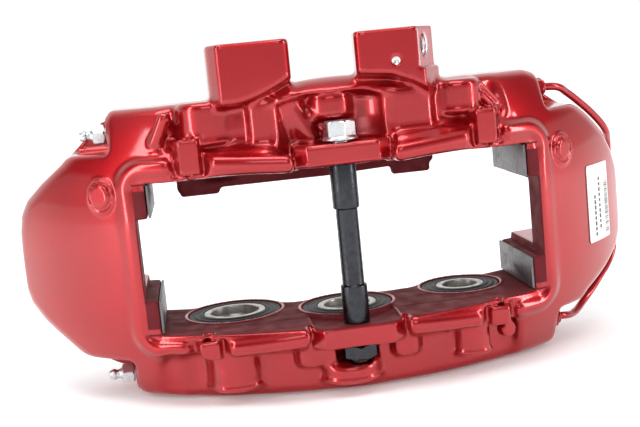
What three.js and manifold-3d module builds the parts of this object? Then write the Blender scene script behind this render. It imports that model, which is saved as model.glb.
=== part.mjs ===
// Fixed six-piston brake caliper with a one-piece body, for a large ventilated disc.
// Design frame, in mm: the bridge bolt's axis is X = Y = 0, the disc's mid-plane is Z = 0, +X runs along
// the caliper, +Y points at the wheel's axle, and +Z points inboard, to the mounting lugs.
// The finished group is moved so that its origin is the bottom centre of its box.
import * as THREE from "three";
import { mergeVertices } from "three/addons/utils/BufferGeometryUtils.js";
import Module from "manifold-3d";

const wasm = await Module();
wasm.setup();

// ---------- driving dimensions ----------
const fitGap = 0.3; // between pieces that touch
const slideGap = 0.2; // radial, between a piston and its bore
const disc = { radius: 205, thickness: 32, edgeGap: 4.5, sideGap: 4 };
const axleY = 214; // from the bridge bolt's axis to the wheel's axle
const shell = {
  outerRadius: 229.5, // outer face over the disc's edge
  halfWidth: 88, // mid-plane to each outer end
  halfLength: 201, // middle to each end
  innerFace: 44, // mid-plane to the face that holds the pistons
  wingHalf: 46, // mid-plane to where the outer face begins to fall away
  shoulderHalf: 60,
  shoulderRadius: 226,
  rimRadius: 211, // outer face at the outer ends
  panelRadius: 213, // recessed panels between the bosses
  panelFrom: 57, // mid-plane to where the recessed panels begin
  panelHalfLength: 97,
};
// Corners of each end: how far it draws in from the full length, and its distance from the mid-plane.
const endSlopes = [
  [0, 18],
  [8, 32],
  [24, 47],
  [61, 80],
  [75, 88],
];
const opening = { halfLength: 119, pillarTop: 24, frameDepth: 17 };
const padStop = { halfLength: 112, back: 87 }; // the pillars that the pads bear on
const plate = { thickness: 1.5, margin: 0.6 };
const plateScrew = { y: 74, z: 35, radius: 1.8, headRadius: 3, headDepth: 0.9, length: 6 };
const pistonSets = [
  { size: "large", x: -68, y: 55.5, diameter: 38 },
  { size: "medium", x: 0, y: 41, diameter: 36 },
  { size: "small", x: 74.5, y: 56, diameter: 30 },
];
const cup = { length: 31, wall: 4, floor: 5, rise: 0.8, bottomGap: 3, chamfer: 1.5 };
const seal = { width: 3.8, depth: 3.2, fromFace: 14 };
const boot = { width: 9.4, depth: 4, grooveFrom: 3, grooveWidth: 3.4, grooveDepth: 1.3 };
const housing = { wall: 4.4, half: 84, bossRadius: 15, bossFront: 222 };
const ear = { halfLength: 20, flank: 7, step: 2, thickness: 12.5, front: -11.8, back: 36, flatHalf: 25 };
ear.innerZ = shell.innerFace + ear.step;
const bolt = { radius: 5, flangeRadius: 10.3, flangeHeight: 2.8, hexFlats: 16, hexHeight: 8.5, room: 3 };
const nut = { flats: 18, height: 8, boltTail: 2.5 };
const sleeve = { wall: 2.3, waistWall: 1, upperCollar: 25, lowerCollar: 21.5 };
const pinBlock = { x: 85, y: 7, halfLength: 8.6, step: 4, radius: 230.5, depth: 20, holeRadius: 2.8 };
pinBlock.low = shell.innerFace + pinBlock.step;
const pinBlockHeight = { inboard: 20, outboard: 11 };
const lug = { halfLength: 20, top: 118, front: -5, back: 58, boltZ: 101, boltRadius: 6.5, boltDepth: 34 };
const lugCenters = { left: -44, right: 32 };
const lugDraft = { side: 6, back: 2, front: 14 };
const drainRadius = 2.2;
const inlet = { z: 107, inset: 12, turn: 28, run: 31, boreRadius: 5.2, depth: 13 };
const [largeSet, , smallSet] = pistonSets;
const housingRadius = (set) => set.diameter / 2 + boot.width + housing.wall;
// The seats of the bleed screws and of the pipe's nuts stand so far clear of the nearest housing.
const bleedSeat = { clear: 30.2, y: 52, z: 73, boreRadius: 4.6, depth: 12 };
bleedSeat.x = largeSet.x - housingRadius(largeSet) - bleedSeat.clear;
const bleedScrew = { radius: 4.3, hexFlats: 11, hexHeight: 7, neckRadius: 2.6, tipRadius: 3.3, tipLength: 8 };
const pipeSeat = { clear: 27.7, y: 62, z: 74, boreRadius: 4.9, depth: 12 };
pipeSeat.x = smallSet.x + housingRadius(smallSet) + pipeSeat.clear;
const seatBoss = { radius: 9, length: 29 };
const pipeNut = { radius: 4.6, flats: 11, hexHeight: 7, collarRadius: 4.4, collar: 2 };
const pipeRadius = 2.4;
// The pipe's way round the end, from the inboard nut to the outboard one: how far past the seats, Y and Z.
const pipeRoute = [
  [19, 65, 72.8],
  [26, 71, 69],
  [37, 78, 61],
  [49.5, 86, 50.5],
  [59.5, 95, 40],
  [65, 107, 30.5],
  [66.3, 111.5, 17],
  [66.3, 112.5, 0],
  [66.3, 112.5, -17],
  [65, 107, -31],
  [60.5, 99, -44],
  [47, 92, -60],
  [33, 83, -71],
  [21, 71, -75.5],
];
const pocket = { inner: 62, front: 34, back: 86 }; // cut-outs for the bleed screws and the pipe's nuts
const label = { width: 33, height: 49, thickness: 0.3, inset: 31, z: -2 };
const ledge = { left: -95, right: 70, front: 82, back: 90, rim: 34, tab: 27, outer: 78 };
const ledgeTabs = { centers: [-81, 55], halfLength: 12.5 };
const passageRadius = 2.2; // fluid drillings
const roundSteps = { large: 90, bore: 26, boss: 18, small: 10 };

// ---------- small tools ----------
const sides = { inboard: 1, outboard: -1 };
const ends = { left: -1, right: 1 };
const toRadians = (degrees) => (degrees * Math.PI) / 180;

// The Z span between two distances from the mid-plane, on one side of it.
const span = (side, near, far) => [Math.min(side * near, side * far), Math.max(side * near, side * far)];

// A closed geometry as a solid: only positions are kept, shared vertices are merged, and slivers dropped.
function solid(geometry) {
  const bare = geometry.index ? geometry.toNonIndexed() : geometry.clone();
  bare.deleteAttribute("normal");
  bare.deleteAttribute("uv");
  const merged = mergeVertices(bare, 1e-4);
  const index = merged.index.array;
  const kept = [];
  for (let i = 0; i < index.length; i += 3) {
    const [a, b, c] = [index[i], index[i + 1], index[i + 2]];
    if (a !== b && b !== c && a !== c) kept.push(a, b, c);
  }
  const vertProperties = merged.attributes.position.array;
  return new wasm.Manifold(new wasm.Mesh({ numProp: 3, vertProperties, triVerts: new Uint32Array(kept) }));
}

const join = (solids) => solids.reduce((all, next) => all.add(next));
const cut = (body, tools) => body.subtract(join(tools));
const outline = (corners) => new THREE.Shape(corners.map(([x, y]) => new THREE.Vector2(x, y)));

function geometryOf(made) {
  const mesh = made.getMesh();
  const positions = new Float32Array(mesh.numVert * 3);
  for (let i = 0; i < mesh.numVert; i++) {
    const start = i * mesh.numProp;
    positions.set(mesh.vertProperties.subarray(start, start + 3), i * 3);
  }
  const geometry = new THREE.BufferGeometry();
  geometry.setAttribute("position", new THREE.BufferAttribute(positions, 3));
  geometry.setIndex(new THREE.BufferAttribute(mesh.triVerts, 1));
  geometry.computeVertexNormals();
  return geometry;
}

// An outline in X and Y, as a prism over a span in Z.
function prismZ(shape, [low, high], curveSegments = 12) {
  const depth = high - low;
  const geometry = new THREE.ExtrudeGeometry(shape, { depth, bevelEnabled: false, curveSegments });
  return solid(geometry.translate(0, 0, low));
}

// An outline in X and Z, as a prism over a span in Y.
function prismY(shape, [low, high]) {
  const geometry = new THREE.ExtrudeGeometry(shape, { depth: high - low, bevelEnabled: false });
  return solid(geometry.rotateX(Math.PI / 2).translate(0, high, 0));
}

function block([x0, x1], [y0, y1], [z0, z1]) {
  const geometry = new THREE.BoxGeometry(x1 - x0, y1 - y0, z1 - z0);
  return solid(geometry.translate((x0 + x1) / 2, (y0 + y1) / 2, (z0 + z1) / 2));
}

// A turned form about an upright axis; its profile of [radius, z] starts and ends on the axis, or closes.
function turned(profile, x, y, steps) {
  const points = profile.map(([radius, z]) => new THREE.Vector2(radius, z));
  return solid(new THREE.LatheGeometry(points, steps).rotateX(Math.PI / 2).translate(x, y, 0));
}

const rodProfile = (radius, [low, high]) => [
  [0, low],
  [radius, low],
  [radius, high],
  [0, high],
];

const ringProfile = (inner, outer, [low, high]) => [
  [inner, low],
  [outer, low],
  [outer, high],
  [inner, high],
  [inner, low],
];

// A straight rod between two points.
function rod(from, to, radius, steps) {
  const start = new THREE.Vector3(...from);
  const end = new THREE.Vector3(...to);
  const geometry = new THREE.CylinderGeometry(radius, radius, start.distanceTo(end), steps);
  const along = end.clone().sub(start).normalize();
  const turn = new THREE.Quaternion().setFromUnitVectors(new THREE.Vector3(0, 1, 0), along);
  const middle = start.add(end).multiplyScalar(0.5);
  return solid(geometry.applyQuaternion(turn).translate(middle.x, middle.y, middle.z));
}

// A hexagon bar, upright, over a span in Z.
function hexBar(flats, zSpan) {
  const corner = flats / Math.sqrt(3);
  const corners = [0, 60, 120, 180, 240, 300].map((angle) => [
    corner * Math.cos(toRadians(angle)),
    corner * Math.sin(toRadians(angle)),
  ]);
  return prismZ(outline(corners), zSpan);
}

// A solid made upright on the origin, laid along X from a point; direction is 1 or -1.
function laidAlongX(made, direction, [x, y, z]) {
  const geometry = geometryOf(made).rotateY((direction * Math.PI) / 2);
  return solid(geometry.translate(x, y, z));
}

// ---------- materials ----------
const finish = (color, roughness, metalness) =>
  new THREE.MeshStandardMaterial({ color, roughness, metalness });
const materials = {
  redPaint: finish(0xb01c22, 0.3, 0.35),
  zincSteel: finish(0xb9bdc0, 0.35, 0.9),
  blackSteel: finish(0x24272b, 0.35, 0.7),
  pistonSteel: finish(0xa8a49c, 0.4, 0.85),
  plateSteel: finish(0x77787a, 0.5, 0.8),
  rubber: finish(0x1c1a1b, 0.75, 0),
  labelPaper: finish(0xf2f1ee, 0.6, 0),
};

const caliper = new THREE.Group();
function addPart(name, made, material) {
  const mesh = new THREE.Mesh(geometryOf(made), material);
  mesh.name = name;
  caliper.add(mesh);
}

// ---------- the body ----------
const reach = shell.outerRadius; // longer than anything that a cut has to pass
const endY = axleY - Math.sqrt(shell.outerRadius ** 2 - shell.halfLength ** 2);
const bootRadius = (set) => set.diameter / 2 + boot.width;
const boreRadius = (set) => set.diameter / 2 + slideGap;
const boreBottom = shell.innerFace - cup.rise + cup.length + cup.bottomGap;
const earTop = ear.innerZ + ear.thickness;

// The outer form: a section turned about the axle, cut to the outlines of the ends and of the inner edge.
function outerForm() {
  const { halfWidth, halfLength } = shell;
  const inner = axleY / 2;
  const section = [
    [inner, -halfWidth],
    [shell.rimRadius, -halfWidth],
    [shell.shoulderRadius, -shell.shoulderHalf],
    [shell.outerRadius, -shell.wingHalf],
    [shell.outerRadius, shell.wingHalf],
    [shell.shoulderRadius, shell.shoulderHalf],
    [shell.rimRadius, halfWidth],
    [inner, halfWidth],
    [inner, -halfWidth],
  ];
  const [large, medium, small] = pistonSets;
  const waist = padStop.back - 17;
  const backEdge = outline([
    [halfLength + 1, -reach],
    [halfLength + 1, endY],
    [padStop.halfLength + 34, padStop.back + 9],
    [padStop.halfLength, padStop.back],
    [small.x, waist],
    [medium.x, waist - 9],
    [large.x, waist],
    [-padStop.halfLength, padStop.back],
    [-padStop.halfLength - 34, padStop.back + 9],
    [-halfLength - 1, endY],
    [-halfLength - 1, -reach],
  ]);
  const quarter = (x, z) => endSlopes.map(([drawnIn, height]) => [x * (halfLength - drawnIn), z * height]);
  const face = outline([
    ...quarter(1, 1),
    ...quarter(-1, 1).reverse(),
    ...quarter(-1, -1),
    ...quarter(1, -1).reverse(),
  ]);
  return turned(section, 0, axleY, roundSteps.large)
    .intersect(prismZ(backEdge, [-halfWidth - 1, halfWidth + 1]))
    .intersect(prismY(face, [-reach, reach]));
}

// What is cut away outside: recessed panels, and pockets for the bleed screws and the pipe's nuts.
function outerCuts(side) {
  const { panelRadius, panelFrom, panelHalfLength, halfWidth } = shell;
  const beyond = halfWidth + 1;
  const band = ringProfile(panelRadius, reach + 20, span(side, panelFrom, beyond));
  const panel = turned(band, 0, axleY, roundSteps.large).intersect(
    block([-panelHalfLength, panelHalfLength], [-reach, reach / 2], span(side, panelFrom, beyond)),
  );
  const z = span(side, pocket.inner, beyond);
  const y = [pocket.front, pocket.back];
  return [
    panel,
    block([bleedSeat.x - reach, bleedSeat.x], y, z),
    block([pipeSeat.x, pipeSeat.x + reach], y, z),
  ];
}

// The round walls about the pistons, and the upright bosses that stand out between the recessed panels.
function housings(side) {
  const zSpan = span(side, shell.innerFace, housing.half);
  return pistonSets.flatMap((set) => {
    const toBoss = (housing.bossFront - housing.bossRadius) / Math.hypot(set.x, axleY - set.y);
    const bossX = set.x * toBoss;
    const bossY = axleY - (axleY - set.y) * toBoss;
    return [
      turned(rodProfile(housingRadius(set), zSpan), set.x, set.y, roundSteps.bore),
      turned(rodProfile(housing.bossRadius, zSpan), bossX, bossY, roundSteps.boss),
    ];
  });
}

function pinBlocks(side, height) {
  const front = axleY - Math.sqrt(pinBlock.radius ** 2 - pinBlock.x ** 2);
  return Object.values(ends).map((end) => {
    const x = [end * pinBlock.x - pinBlock.halfLength, end * pinBlock.x + pinBlock.halfLength];
    return block(x, [front, front + pinBlock.depth], span(side, pinBlock.low, pinBlock.low + height));
  });
}

function earBlock(side) {
  const base = ear.halfLength + ear.flank;
  const shape = outline([
    [-ear.halfLength, ear.front],
    [ear.halfLength, ear.front],
    [base, ear.front + ear.flank],
    [base, ear.back],
    [-base, ear.back],
    [-base, ear.front + ear.flank],
  ]);
  return prismZ(shape, span(side, ear.innerZ, earTop));
}

// The inlet's slanting face on the right lug: a point so far along it, and so far out of it.
const inletCorner = [lugCenters.right + lug.halfLength - 4, lug.front];
function inletAt(along, out, z) {
  const angle = toRadians(inlet.turn);
  const x = inletCorner[0] + along * Math.sin(angle) + out * Math.cos(angle);
  const y = inletCorner[1] + along * Math.cos(angle) - out * Math.sin(angle);
  return [x, y, z];
}

function lugs() {
  const zSpan = [housing.half - 10, lug.top];
  const { left, right } = lugCenters;
  const leftShape = outline([
    [left - lug.halfLength, lug.front],
    [left + lug.halfLength, lug.front],
    [left + lug.halfLength + lugDraft.back, lug.back],
    [left - lug.halfLength - lugDraft.side, lug.back],
    [left - lug.halfLength - lugDraft.side, lug.front + lugDraft.front],
  ]);
  const [faceEndX, faceEndY] = inletAt(inlet.run, 0, 0);
  const rightShape = outline([
    [right - lug.halfLength, lug.front],
    inletCorner,
    [faceEndX, faceEndY],
    [faceEndX, lug.back],
    [right - lug.halfLength - lugDraft.back, lug.back],
  ]);
  return [prismZ(leftShape, zSpan), prismZ(rightShape, zSpan)];
}

// The round boss that a bleed screw or a tube nut screws into.
function screwBoss(seat, side) {
  const z = side * seat.z;
  const start = [seat.x - Math.sign(seat.x) * seatBoss.length, seat.y, z];
  return rod(start, [seat.x, seat.y, z], seatBoss.radius, roundSteps.boss);
}

// The opening for the disc and the pads.
function innerCuts() {
  const slot = disc.thickness / 2 + disc.sideGap;
  const face = [-shell.innerFace, shell.innerFace];
  const window = [-opening.halfLength, opening.halfLength];
  return [
    turned(rodProfile(disc.radius + disc.edgeGap, [-slot, slot]), 0, axleY, roundSteps.large),
    block([-padStop.halfLength, padStop.halfLength], [-reach, reach], face),
    block(window, [-reach, reach], [-opening.pillarTop, opening.pillarTop]),
    block(window, [-reach, opening.frameDepth], face),
    block([-ear.flatHalf, ear.flatHalf], [-reach, ear.back], [-ear.innerZ, ear.innerZ]),
  ];
}

// Along the inboard half's inner edge, a solid back with a rim and two tabs that carry the pad's back edge.
function padLedge() {
  const x = [ledge.left, ledge.right];
  const y = [ledge.front, ledge.back];
  const tabs = ledgeTabs.centers.map((middle) =>
    block([middle - ledgeTabs.halfLength, middle + ledgeTabs.halfLength], y, [ledge.tab, ledge.outer]),
  );
  return [
    block(x, y, [ledge.rim, ledge.outer]),
    block(x, [ear.back, ledge.back], [shell.innerFace, ledge.outer]),
    ...tabs,
  ];
}

// The bores of one half, each with its boot recess and its seal groove.
function bores(side) {
  const { innerFace } = shell;
  const groove = innerFace + seal.fromFace;
  return pistonSets.flatMap((set) => {
    const steps = [
      [boreRadius(set), 0, boreBottom],
      [bootRadius(set) + fitGap, 0, innerFace + boot.depth + fitGap],
      [set.diameter / 2 + seal.depth + fitGap, groove - fitGap, groove + seal.width + fitGap],
    ];
    return steps.map(([radius, near, far]) =>
      turned(rodProfile(radius, span(side, near, far)), set.x, set.y, roundSteps.bore),
    );
  });
}

// Fluid drillings: from bore to bore, from the bleed screw's seat, and to the pipe's seat.
function passages(side) {
  const [large, medium, small] = pistonSets;
  const deep = side * (boreBottom - passageRadius);
  const bleedZ = side * bleedSeat.z;
  const pipeZ = side * pipeSeat.z;
  const bleedEnd = [bleedSeat.x + bleedSeat.depth, bleedSeat.y, bleedZ];
  const pipeEnd = [pipeSeat.x - pipeSeat.depth, pipeSeat.y, pipeZ];
  return [
    rod([large.x, large.y, deep], [medium.x, medium.y, deep], passageRadius, roundSteps.small),
    rod([medium.x, medium.y, deep], [small.x, small.y, deep], passageRadius, roundSteps.small),
    rod([bleedSeat.x - 1, bleedSeat.y, bleedZ], bleedEnd, bleedSeat.boreRadius, roundSteps.boss),
    rod(bleedEnd, [large.x, large.y, deep], passageRadius, roundSteps.small),
    rod([pipeSeat.x + 1, pipeSeat.y, pipeZ], pipeEnd, pipeSeat.boreRadius, roundSteps.boss),
    rod(pipeEnd, [small.x, small.y, deep], passageRadius, roundSteps.small),
  ];
}

// Holes for the pad pins, the bridge bolt and the plates' screws, and room for the bolt's head or nut.
function smallHoles(side, pinHeight) {
  const { innerFace, halfWidth } = shell;
  const pinSpan = span(side, innerFace - 1, pinBlock.low + pinHeight + 1);
  const roomRadius = bolt.flangeRadius + bolt.room;
  const z = side * plateScrew.z;
  const perEnd = Object.values(ends).flatMap((end) => {
    const x = end * padStop.halfLength;
    const tip = x + end * (plateScrew.length + fitGap);
    return [
      turned(rodProfile(pinBlock.holeRadius, pinSpan), end * pinBlock.x, pinBlock.y, roundSteps.small),
      rod(
        [x - end, plateScrew.y, z],
        [tip, plateScrew.y, z],
        plateScrew.radius + fitGap,
        roundSteps.small,
      ),
    ];
  });
  return [
    ...perEnd,
    turned(rodProfile(bolt.radius + fitGap, span(side, innerFace, halfWidth)), 0, 0, roundSteps.boss),
    turned(rodProfile(roomRadius, span(side, earTop, halfWidth + 1)), 0, 0, roundSteps.boss),
  ];
}

// In the lugs: blind bolt holes from the axle's side, a drain, and the fluid inlet with its drilling.
function lugHoles() {
  const bottomY = lug.back - lug.boltDepth;
  const boltHoles = Object.values(lugCenters).map((x) =>
    rod([x, lug.back + 1, lug.boltZ], [x, bottomY, lug.boltZ], lug.boltRadius, roundSteps.boss),
  );
  const x = lugCenters.right;
  const drain = rod([x, lug.front - 1, lug.boltZ], [x, bottomY + 1, lug.boltZ], drainRadius, roundSteps.small);
  const mouth = inletAt(inlet.inset, 1, inlet.z);
  const mouthEnd = inletAt(inlet.inset, -inlet.depth, inlet.z);
  const [, medium] = pistonSets;
  const feedEnd = [medium.x + medium.diameter / 4, medium.y - medium.diameter / 4, boreBottom - passageRadius];
  return [
    ...boltHoles,
    drain,
    rod(mouth, mouthEnd, inlet.boreRadius, roundSteps.boss),
    rod(mouthEnd, feedEnd, passageRadius, roundSteps.small),
  ];
}

function caliperBody() {
  const { inboard, outboard } = sides;
  const blank = cut(outerForm(), [...outerCuts(inboard), ...outerCuts(outboard)]);
  const dressed = join([
    blank,
    ...housings(inboard),
    ...housings(outboard),
    ...pinBlocks(inboard, pinBlockHeight.inboard),
    ...pinBlocks(outboard, pinBlockHeight.outboard),
    earBlock(inboard),
    earBlock(outboard),
    ...[pipeSeat, bleedSeat].flatMap((seat) => [screwBoss(seat, inboard), screwBoss(seat, outboard)]),
    ...lugs(),
  ]);
  const opened = join([cut(dressed, innerCuts()), ...padLedge()]);
  return cut(opened, [
    ...bores(inboard),
    ...bores(outboard),
    ...passages(inboard),
    ...passages(outboard),
    ...smallHoles(inboard, pinBlockHeight.inboard),
    ...smallHoles(outboard, pinBlockHeight.outboard),
    ...lugHoles(),
  ]);
}

addPart("caliper_body", caliperBody(), materials.redPaint);

// ---------- pistons, seals and boots ----------
// A hollow piston, open to the disc, with a groove near its rim for the boot's inner bead.
function pistonCup(set, side) {
  const radius = set.diameter / 2;
  const rim = shell.innerFace - cup.rise;
  const end = rim + cup.length;
  const groove = rim + boot.grooveFrom;
  const profile = [
    [0, end - cup.floor],
    [radius - cup.wall, end - cup.floor],
    [radius - cup.wall, rim],
    [radius, rim],
    [radius, groove],
    [radius - boot.grooveDepth, groove],
    [radius - boot.grooveDepth, groove + boot.grooveWidth],
    [radius, groove + boot.grooveWidth],
    [radius, end - cup.chamfer],
    [radius - cup.chamfer, end],
    [0, end],
  ];
  return turned(facing(profile, side), set.x, set.y, roundSteps.bore);
}

// A profile drawn for the inboard side, put on either side of the mid-plane, still facing outwards.
function facing(profile, side) {
  const flipped = profile.map(([radius, z]) => [radius, side * z]);
  return side > 0 ? flipped : flipped.reverse();
}

function pistonSeal(set, side) {
  const low = shell.innerFace + seal.fromFace;
  const inner = set.diameter / 2 + fitGap;
  const profile = ringProfile(inner, set.diameter / 2 + seal.depth, span(side, low, low + seal.width));
  return turned(profile, set.x, set.y, roundSteps.bore);
}

// A dust boot: a flat ring that fills the body's recess and reaches the piston.
function dustBoot(set, side) {
  const zSpan = span(side, shell.innerFace, shell.innerFace + boot.depth);
  const profile = ringProfile(set.diameter / 2 + fitGap, bootRadius(set), zSpan);
  return turned(profile, set.x, set.y, roundSteps.bore);
}

for (const [sideName, side] of Object.entries(sides)) {
  for (const set of pistonSets) {
    addPart(`${sideName}_piston_${set.size}`, pistonCup(set, side), materials.pistonSteel);
    addPart(`${sideName}_seal_${set.size}`, pistonSeal(set, side), materials.rubber);
    addPart(`${sideName}_boot_${set.size}`, dustBoot(set, side), materials.rubber);
  }
}

// ---------- bridge bolt, sleeve and nut ----------
const seatTop = earTop + fitGap;
const nutSpan = [-seatTop - nut.height, -seatTop];

function bridgeBolt() {
  const flangeTop = seatTop + bolt.flangeHeight;
  return join([
    turned(rodProfile(bolt.radius, [nutSpan[0] - nut.boltTail, flangeTop]), 0, 0, roundSteps.boss),
    turned(rodProfile(bolt.flangeRadius, [seatTop, flangeTop]), 0, 0, roundSteps.boss),
    hexBar(bolt.hexFlats, [seatTop, flangeTop + bolt.hexHeight]),
  ]);
}

function bridgeSleeve() {
  const inner = bolt.radius + fitGap;
  const collar = inner + sleeve.wall;
  const waist = inner + sleeve.waistWall;
  const end = ear.innerZ - fitGap;
  const upper = end - sleeve.upperCollar;
  const lower = -end + sleeve.lowerCollar;
  const profile = [
    [inner, -end],
    [collar, -end],
    [collar, lower],
    [waist, lower + 1],
    [waist, upper - 1],
    [collar, upper],
    [collar, end],
    [inner, end],
    [inner, -end],
  ];
  return turned(profile, 0, 0, roundSteps.boss);
}

const nutBore = turned(rodProfile(bolt.radius + fitGap, [-shell.halfWidth, 0]), 0, 0, roundSteps.boss);
addPart("bridge_bolt", bridgeBolt(), materials.zincSteel);
addPart("bridge_sleeve", bridgeSleeve(), materials.blackSteel);
addPart("bridge_nut", hexBar(nut.flats, nutSpan).subtract(nutBore), materials.blackSteel);

// ---------- crossover pipe and its nuts ----------
// A tube nut, upright on the origin, with its thread below and its hexagon above.
function tubeNut() {
  const { hexHeight } = pipeNut;
  const thread = pipeSeat.depth - fitGap - 3;
  const solidNut = join([
    turned(rodProfile(pipeNut.radius, [-thread, fitGap + 1]), 0, 0, roundSteps.boss),
    hexBar(pipeNut.flats, [fitGap, fitGap + hexHeight]),
    turned(
      rodProfile(pipeNut.collarRadius, [fitGap, fitGap + hexHeight + pipeNut.collar]),
      0,
      0,
      roundSteps.boss,
    ),
  ]);
  const through = rodProfile(pipeRadius + fitGap, [-pipeSeat.depth, hexHeight + pipeNut.collar + 5]);
  return solidNut.subtract(turned(through, 0, 0, roundSteps.boss));
}

// The pipe runs straight through both nuts, and round the body's end between them.
function crossoverPipe() {
  const inside = pipeSeat.x - pipeSeat.depth + 1;
  const clearOfNut = pipeSeat.x + pipeNut.hexHeight + pipeNut.collar + 1;
  const straight = [inside, pipeSeat.x, clearOfNut - 4, clearOfNut];
  const start = straight.map((x) => [x, pipeSeat.y, pipeSeat.z]);
  const finish = straight.map((x) => [x, pipeSeat.y, -pipeSeat.z]).reverse();
  const round = pipeRoute.map(([past, y, z]) => [pipeSeat.x + past, y, z]);
  const points = [...start, ...round, ...finish].map((point) => new THREE.Vector3(...point));
  const path = new THREE.CatmullRomCurve3(points, false, "centripetal");
  const sectionSides = 10;
  const section = new THREE.Shape();
  for (let i = 0; i < sectionSides; i++) {
    const angle = (2 * Math.PI * i) / sectionSides;
    const [x, y] = [pipeRadius * Math.cos(angle), pipeRadius * Math.sin(angle)];
    if (i === 0) section.moveTo(x, y);
    else section.lineTo(x, y);
  }
  return solid(new THREE.ExtrudeGeometry(section, { steps: 44, extrudePath: path }));
}

addPart("crossover_pipe", crossoverPipe(), materials.redPaint);
for (const [sideName, side] of Object.entries(sides)) {
  const seat = [pipeSeat.x, pipeSeat.y, side * pipeSeat.z];
  addPart(`pipe_nut_${sideName}`, laidAlongX(tubeNut(), 1, seat), materials.redPaint);
}

// ---------- bleed screws ----------
// A bleed screw, upright on the origin: thread below, hexagon, and a nipple with a barb on top.
function bleeder() {
  const { hexHeight, neckRadius, tipRadius, tipLength } = bleedScrew;
  const hexFrom = 2;
  const hexTo = hexFrom + hexHeight;
  const tipTo = hexTo + tipLength;
  const profile = [
    [0, fitGap - bleedSeat.depth + 1],
    [1.5, fitGap - bleedSeat.depth + 1],
    [bleedScrew.radius, 4 - bleedSeat.depth],
    [bleedScrew.radius, hexFrom + 1],
    [neckRadius + 1.4, hexTo],
    [neckRadius, hexTo + 1.6],
    [neckRadius, tipTo - 4.4],
    [tipRadius, tipTo - 3.4],
    [tipRadius - 1, tipTo],
    [0, tipTo],
  ];
  return turned(profile, 0, 0, roundSteps.small).add(hexBar(bleedScrew.hexFlats, [hexFrom, hexTo]));
}

for (const [sideName, side] of Object.entries(sides)) {
  const seat = [bleedSeat.x, bleedSeat.y, side * bleedSeat.z];
  addPart(`bleed_screw_${sideName}`, laidAlongX(bleeder(), -1, seat), materials.zincSteel);
}

// ---------- pad abutment plates and their screws ----------
// A plate lies on its pillar; the screw's head sits in a hole of its own, flush with the plate's face.
function abutment(side, end) {
  const back = padStop.halfLength - fitGap;
  const face = back - plate.thickness;
  const xSpan = span(end, face, back);
  const zSpan = span(side, opening.pillarTop + plate.margin, shell.innerFace - plate.margin);
  const z = side * plateScrew.z;
  const at = (x) => [end * x, plateScrew.y, z];
  const hole = rod(at(face - 1), at(back + 1), plateScrew.headRadius + fitGap, roundSteps.small);
  const blank = block(xSpan, [opening.frameDepth + 1, padStop.back - 1], zSpan);
  const head = rod(at(face), at(face + plateScrew.headDepth), plateScrew.headRadius, roundSteps.small);
  const shank = rod(at(face), at(padStop.halfLength + plateScrew.length), plateScrew.radius, roundSteps.small);
  return { plate: blank.subtract(hole), screw: head.add(shank) };
}

for (const [sideName, side] of Object.entries(sides)) {
  for (const [endName, end] of Object.entries(ends)) {
    const made = abutment(side, end);
    addPart(`abutment_plate_${sideName}_${endName}`, made.plate, materials.plateSteel);
    addPart(`abutment_screw_${sideName}_${endName}`, made.screw, materials.zincSteel);
  }
}

// ---------- label ----------
// A thin sticker on the outer face, bent to its radius.
function sticker() {
  const inner = shell.outerRadius + fitGap;
  const halfAngle = label.width / shell.outerRadius / 2;
  const middle = Math.asin((shell.halfLength - label.inset) / inner) - Math.PI / 2;
  const shape = new THREE.Shape();
  shape.absarc(0, axleY, inner, middle - halfAngle, middle + halfAngle, false);
  shape.absarc(0, axleY, inner + label.thickness, middle + halfAngle, middle - halfAngle, true);
  return prismZ(shape, [label.z - label.height / 2, label.z + label.height / 2], 6);
}

addPart("label", sticker(), materials.labelPaper);

// ---------- the part's own frame ----------
const box = new THREE.Box3().setFromObject(caliper);
const middle = box.getCenter(new THREE.Vector3());
caliper.position.set(-middle.x, -middle.y, -box.min.z);

const part = new THREE.Group();
part.add(caliper);
export default part;
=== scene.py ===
import math

import bmesh
import bpy
import numpy as np
from mathutils import Matrix, Vector


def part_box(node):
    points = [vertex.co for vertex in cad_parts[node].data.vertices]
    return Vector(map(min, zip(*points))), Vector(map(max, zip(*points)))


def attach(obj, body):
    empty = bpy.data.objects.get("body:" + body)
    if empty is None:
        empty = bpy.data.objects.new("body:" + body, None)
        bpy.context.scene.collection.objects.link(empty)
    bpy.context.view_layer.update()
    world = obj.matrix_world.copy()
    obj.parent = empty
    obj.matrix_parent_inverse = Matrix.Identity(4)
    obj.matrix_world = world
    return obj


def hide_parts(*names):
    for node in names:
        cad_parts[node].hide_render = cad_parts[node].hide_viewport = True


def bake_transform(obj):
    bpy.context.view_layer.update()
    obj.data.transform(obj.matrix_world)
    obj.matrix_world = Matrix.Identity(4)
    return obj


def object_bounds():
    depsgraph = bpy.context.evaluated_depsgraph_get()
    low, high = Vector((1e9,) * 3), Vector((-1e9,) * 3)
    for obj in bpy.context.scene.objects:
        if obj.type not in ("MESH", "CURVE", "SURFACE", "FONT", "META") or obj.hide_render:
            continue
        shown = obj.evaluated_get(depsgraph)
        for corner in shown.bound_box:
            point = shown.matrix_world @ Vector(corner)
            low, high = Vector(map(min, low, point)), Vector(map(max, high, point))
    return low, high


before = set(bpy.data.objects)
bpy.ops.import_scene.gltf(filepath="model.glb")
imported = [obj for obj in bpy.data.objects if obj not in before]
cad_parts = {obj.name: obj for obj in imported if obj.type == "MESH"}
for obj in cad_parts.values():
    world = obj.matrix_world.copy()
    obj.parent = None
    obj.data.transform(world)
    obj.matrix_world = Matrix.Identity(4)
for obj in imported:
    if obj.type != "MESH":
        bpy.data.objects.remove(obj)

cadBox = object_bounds()
scene = bpy.context.scene
mm = 0.001

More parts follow.
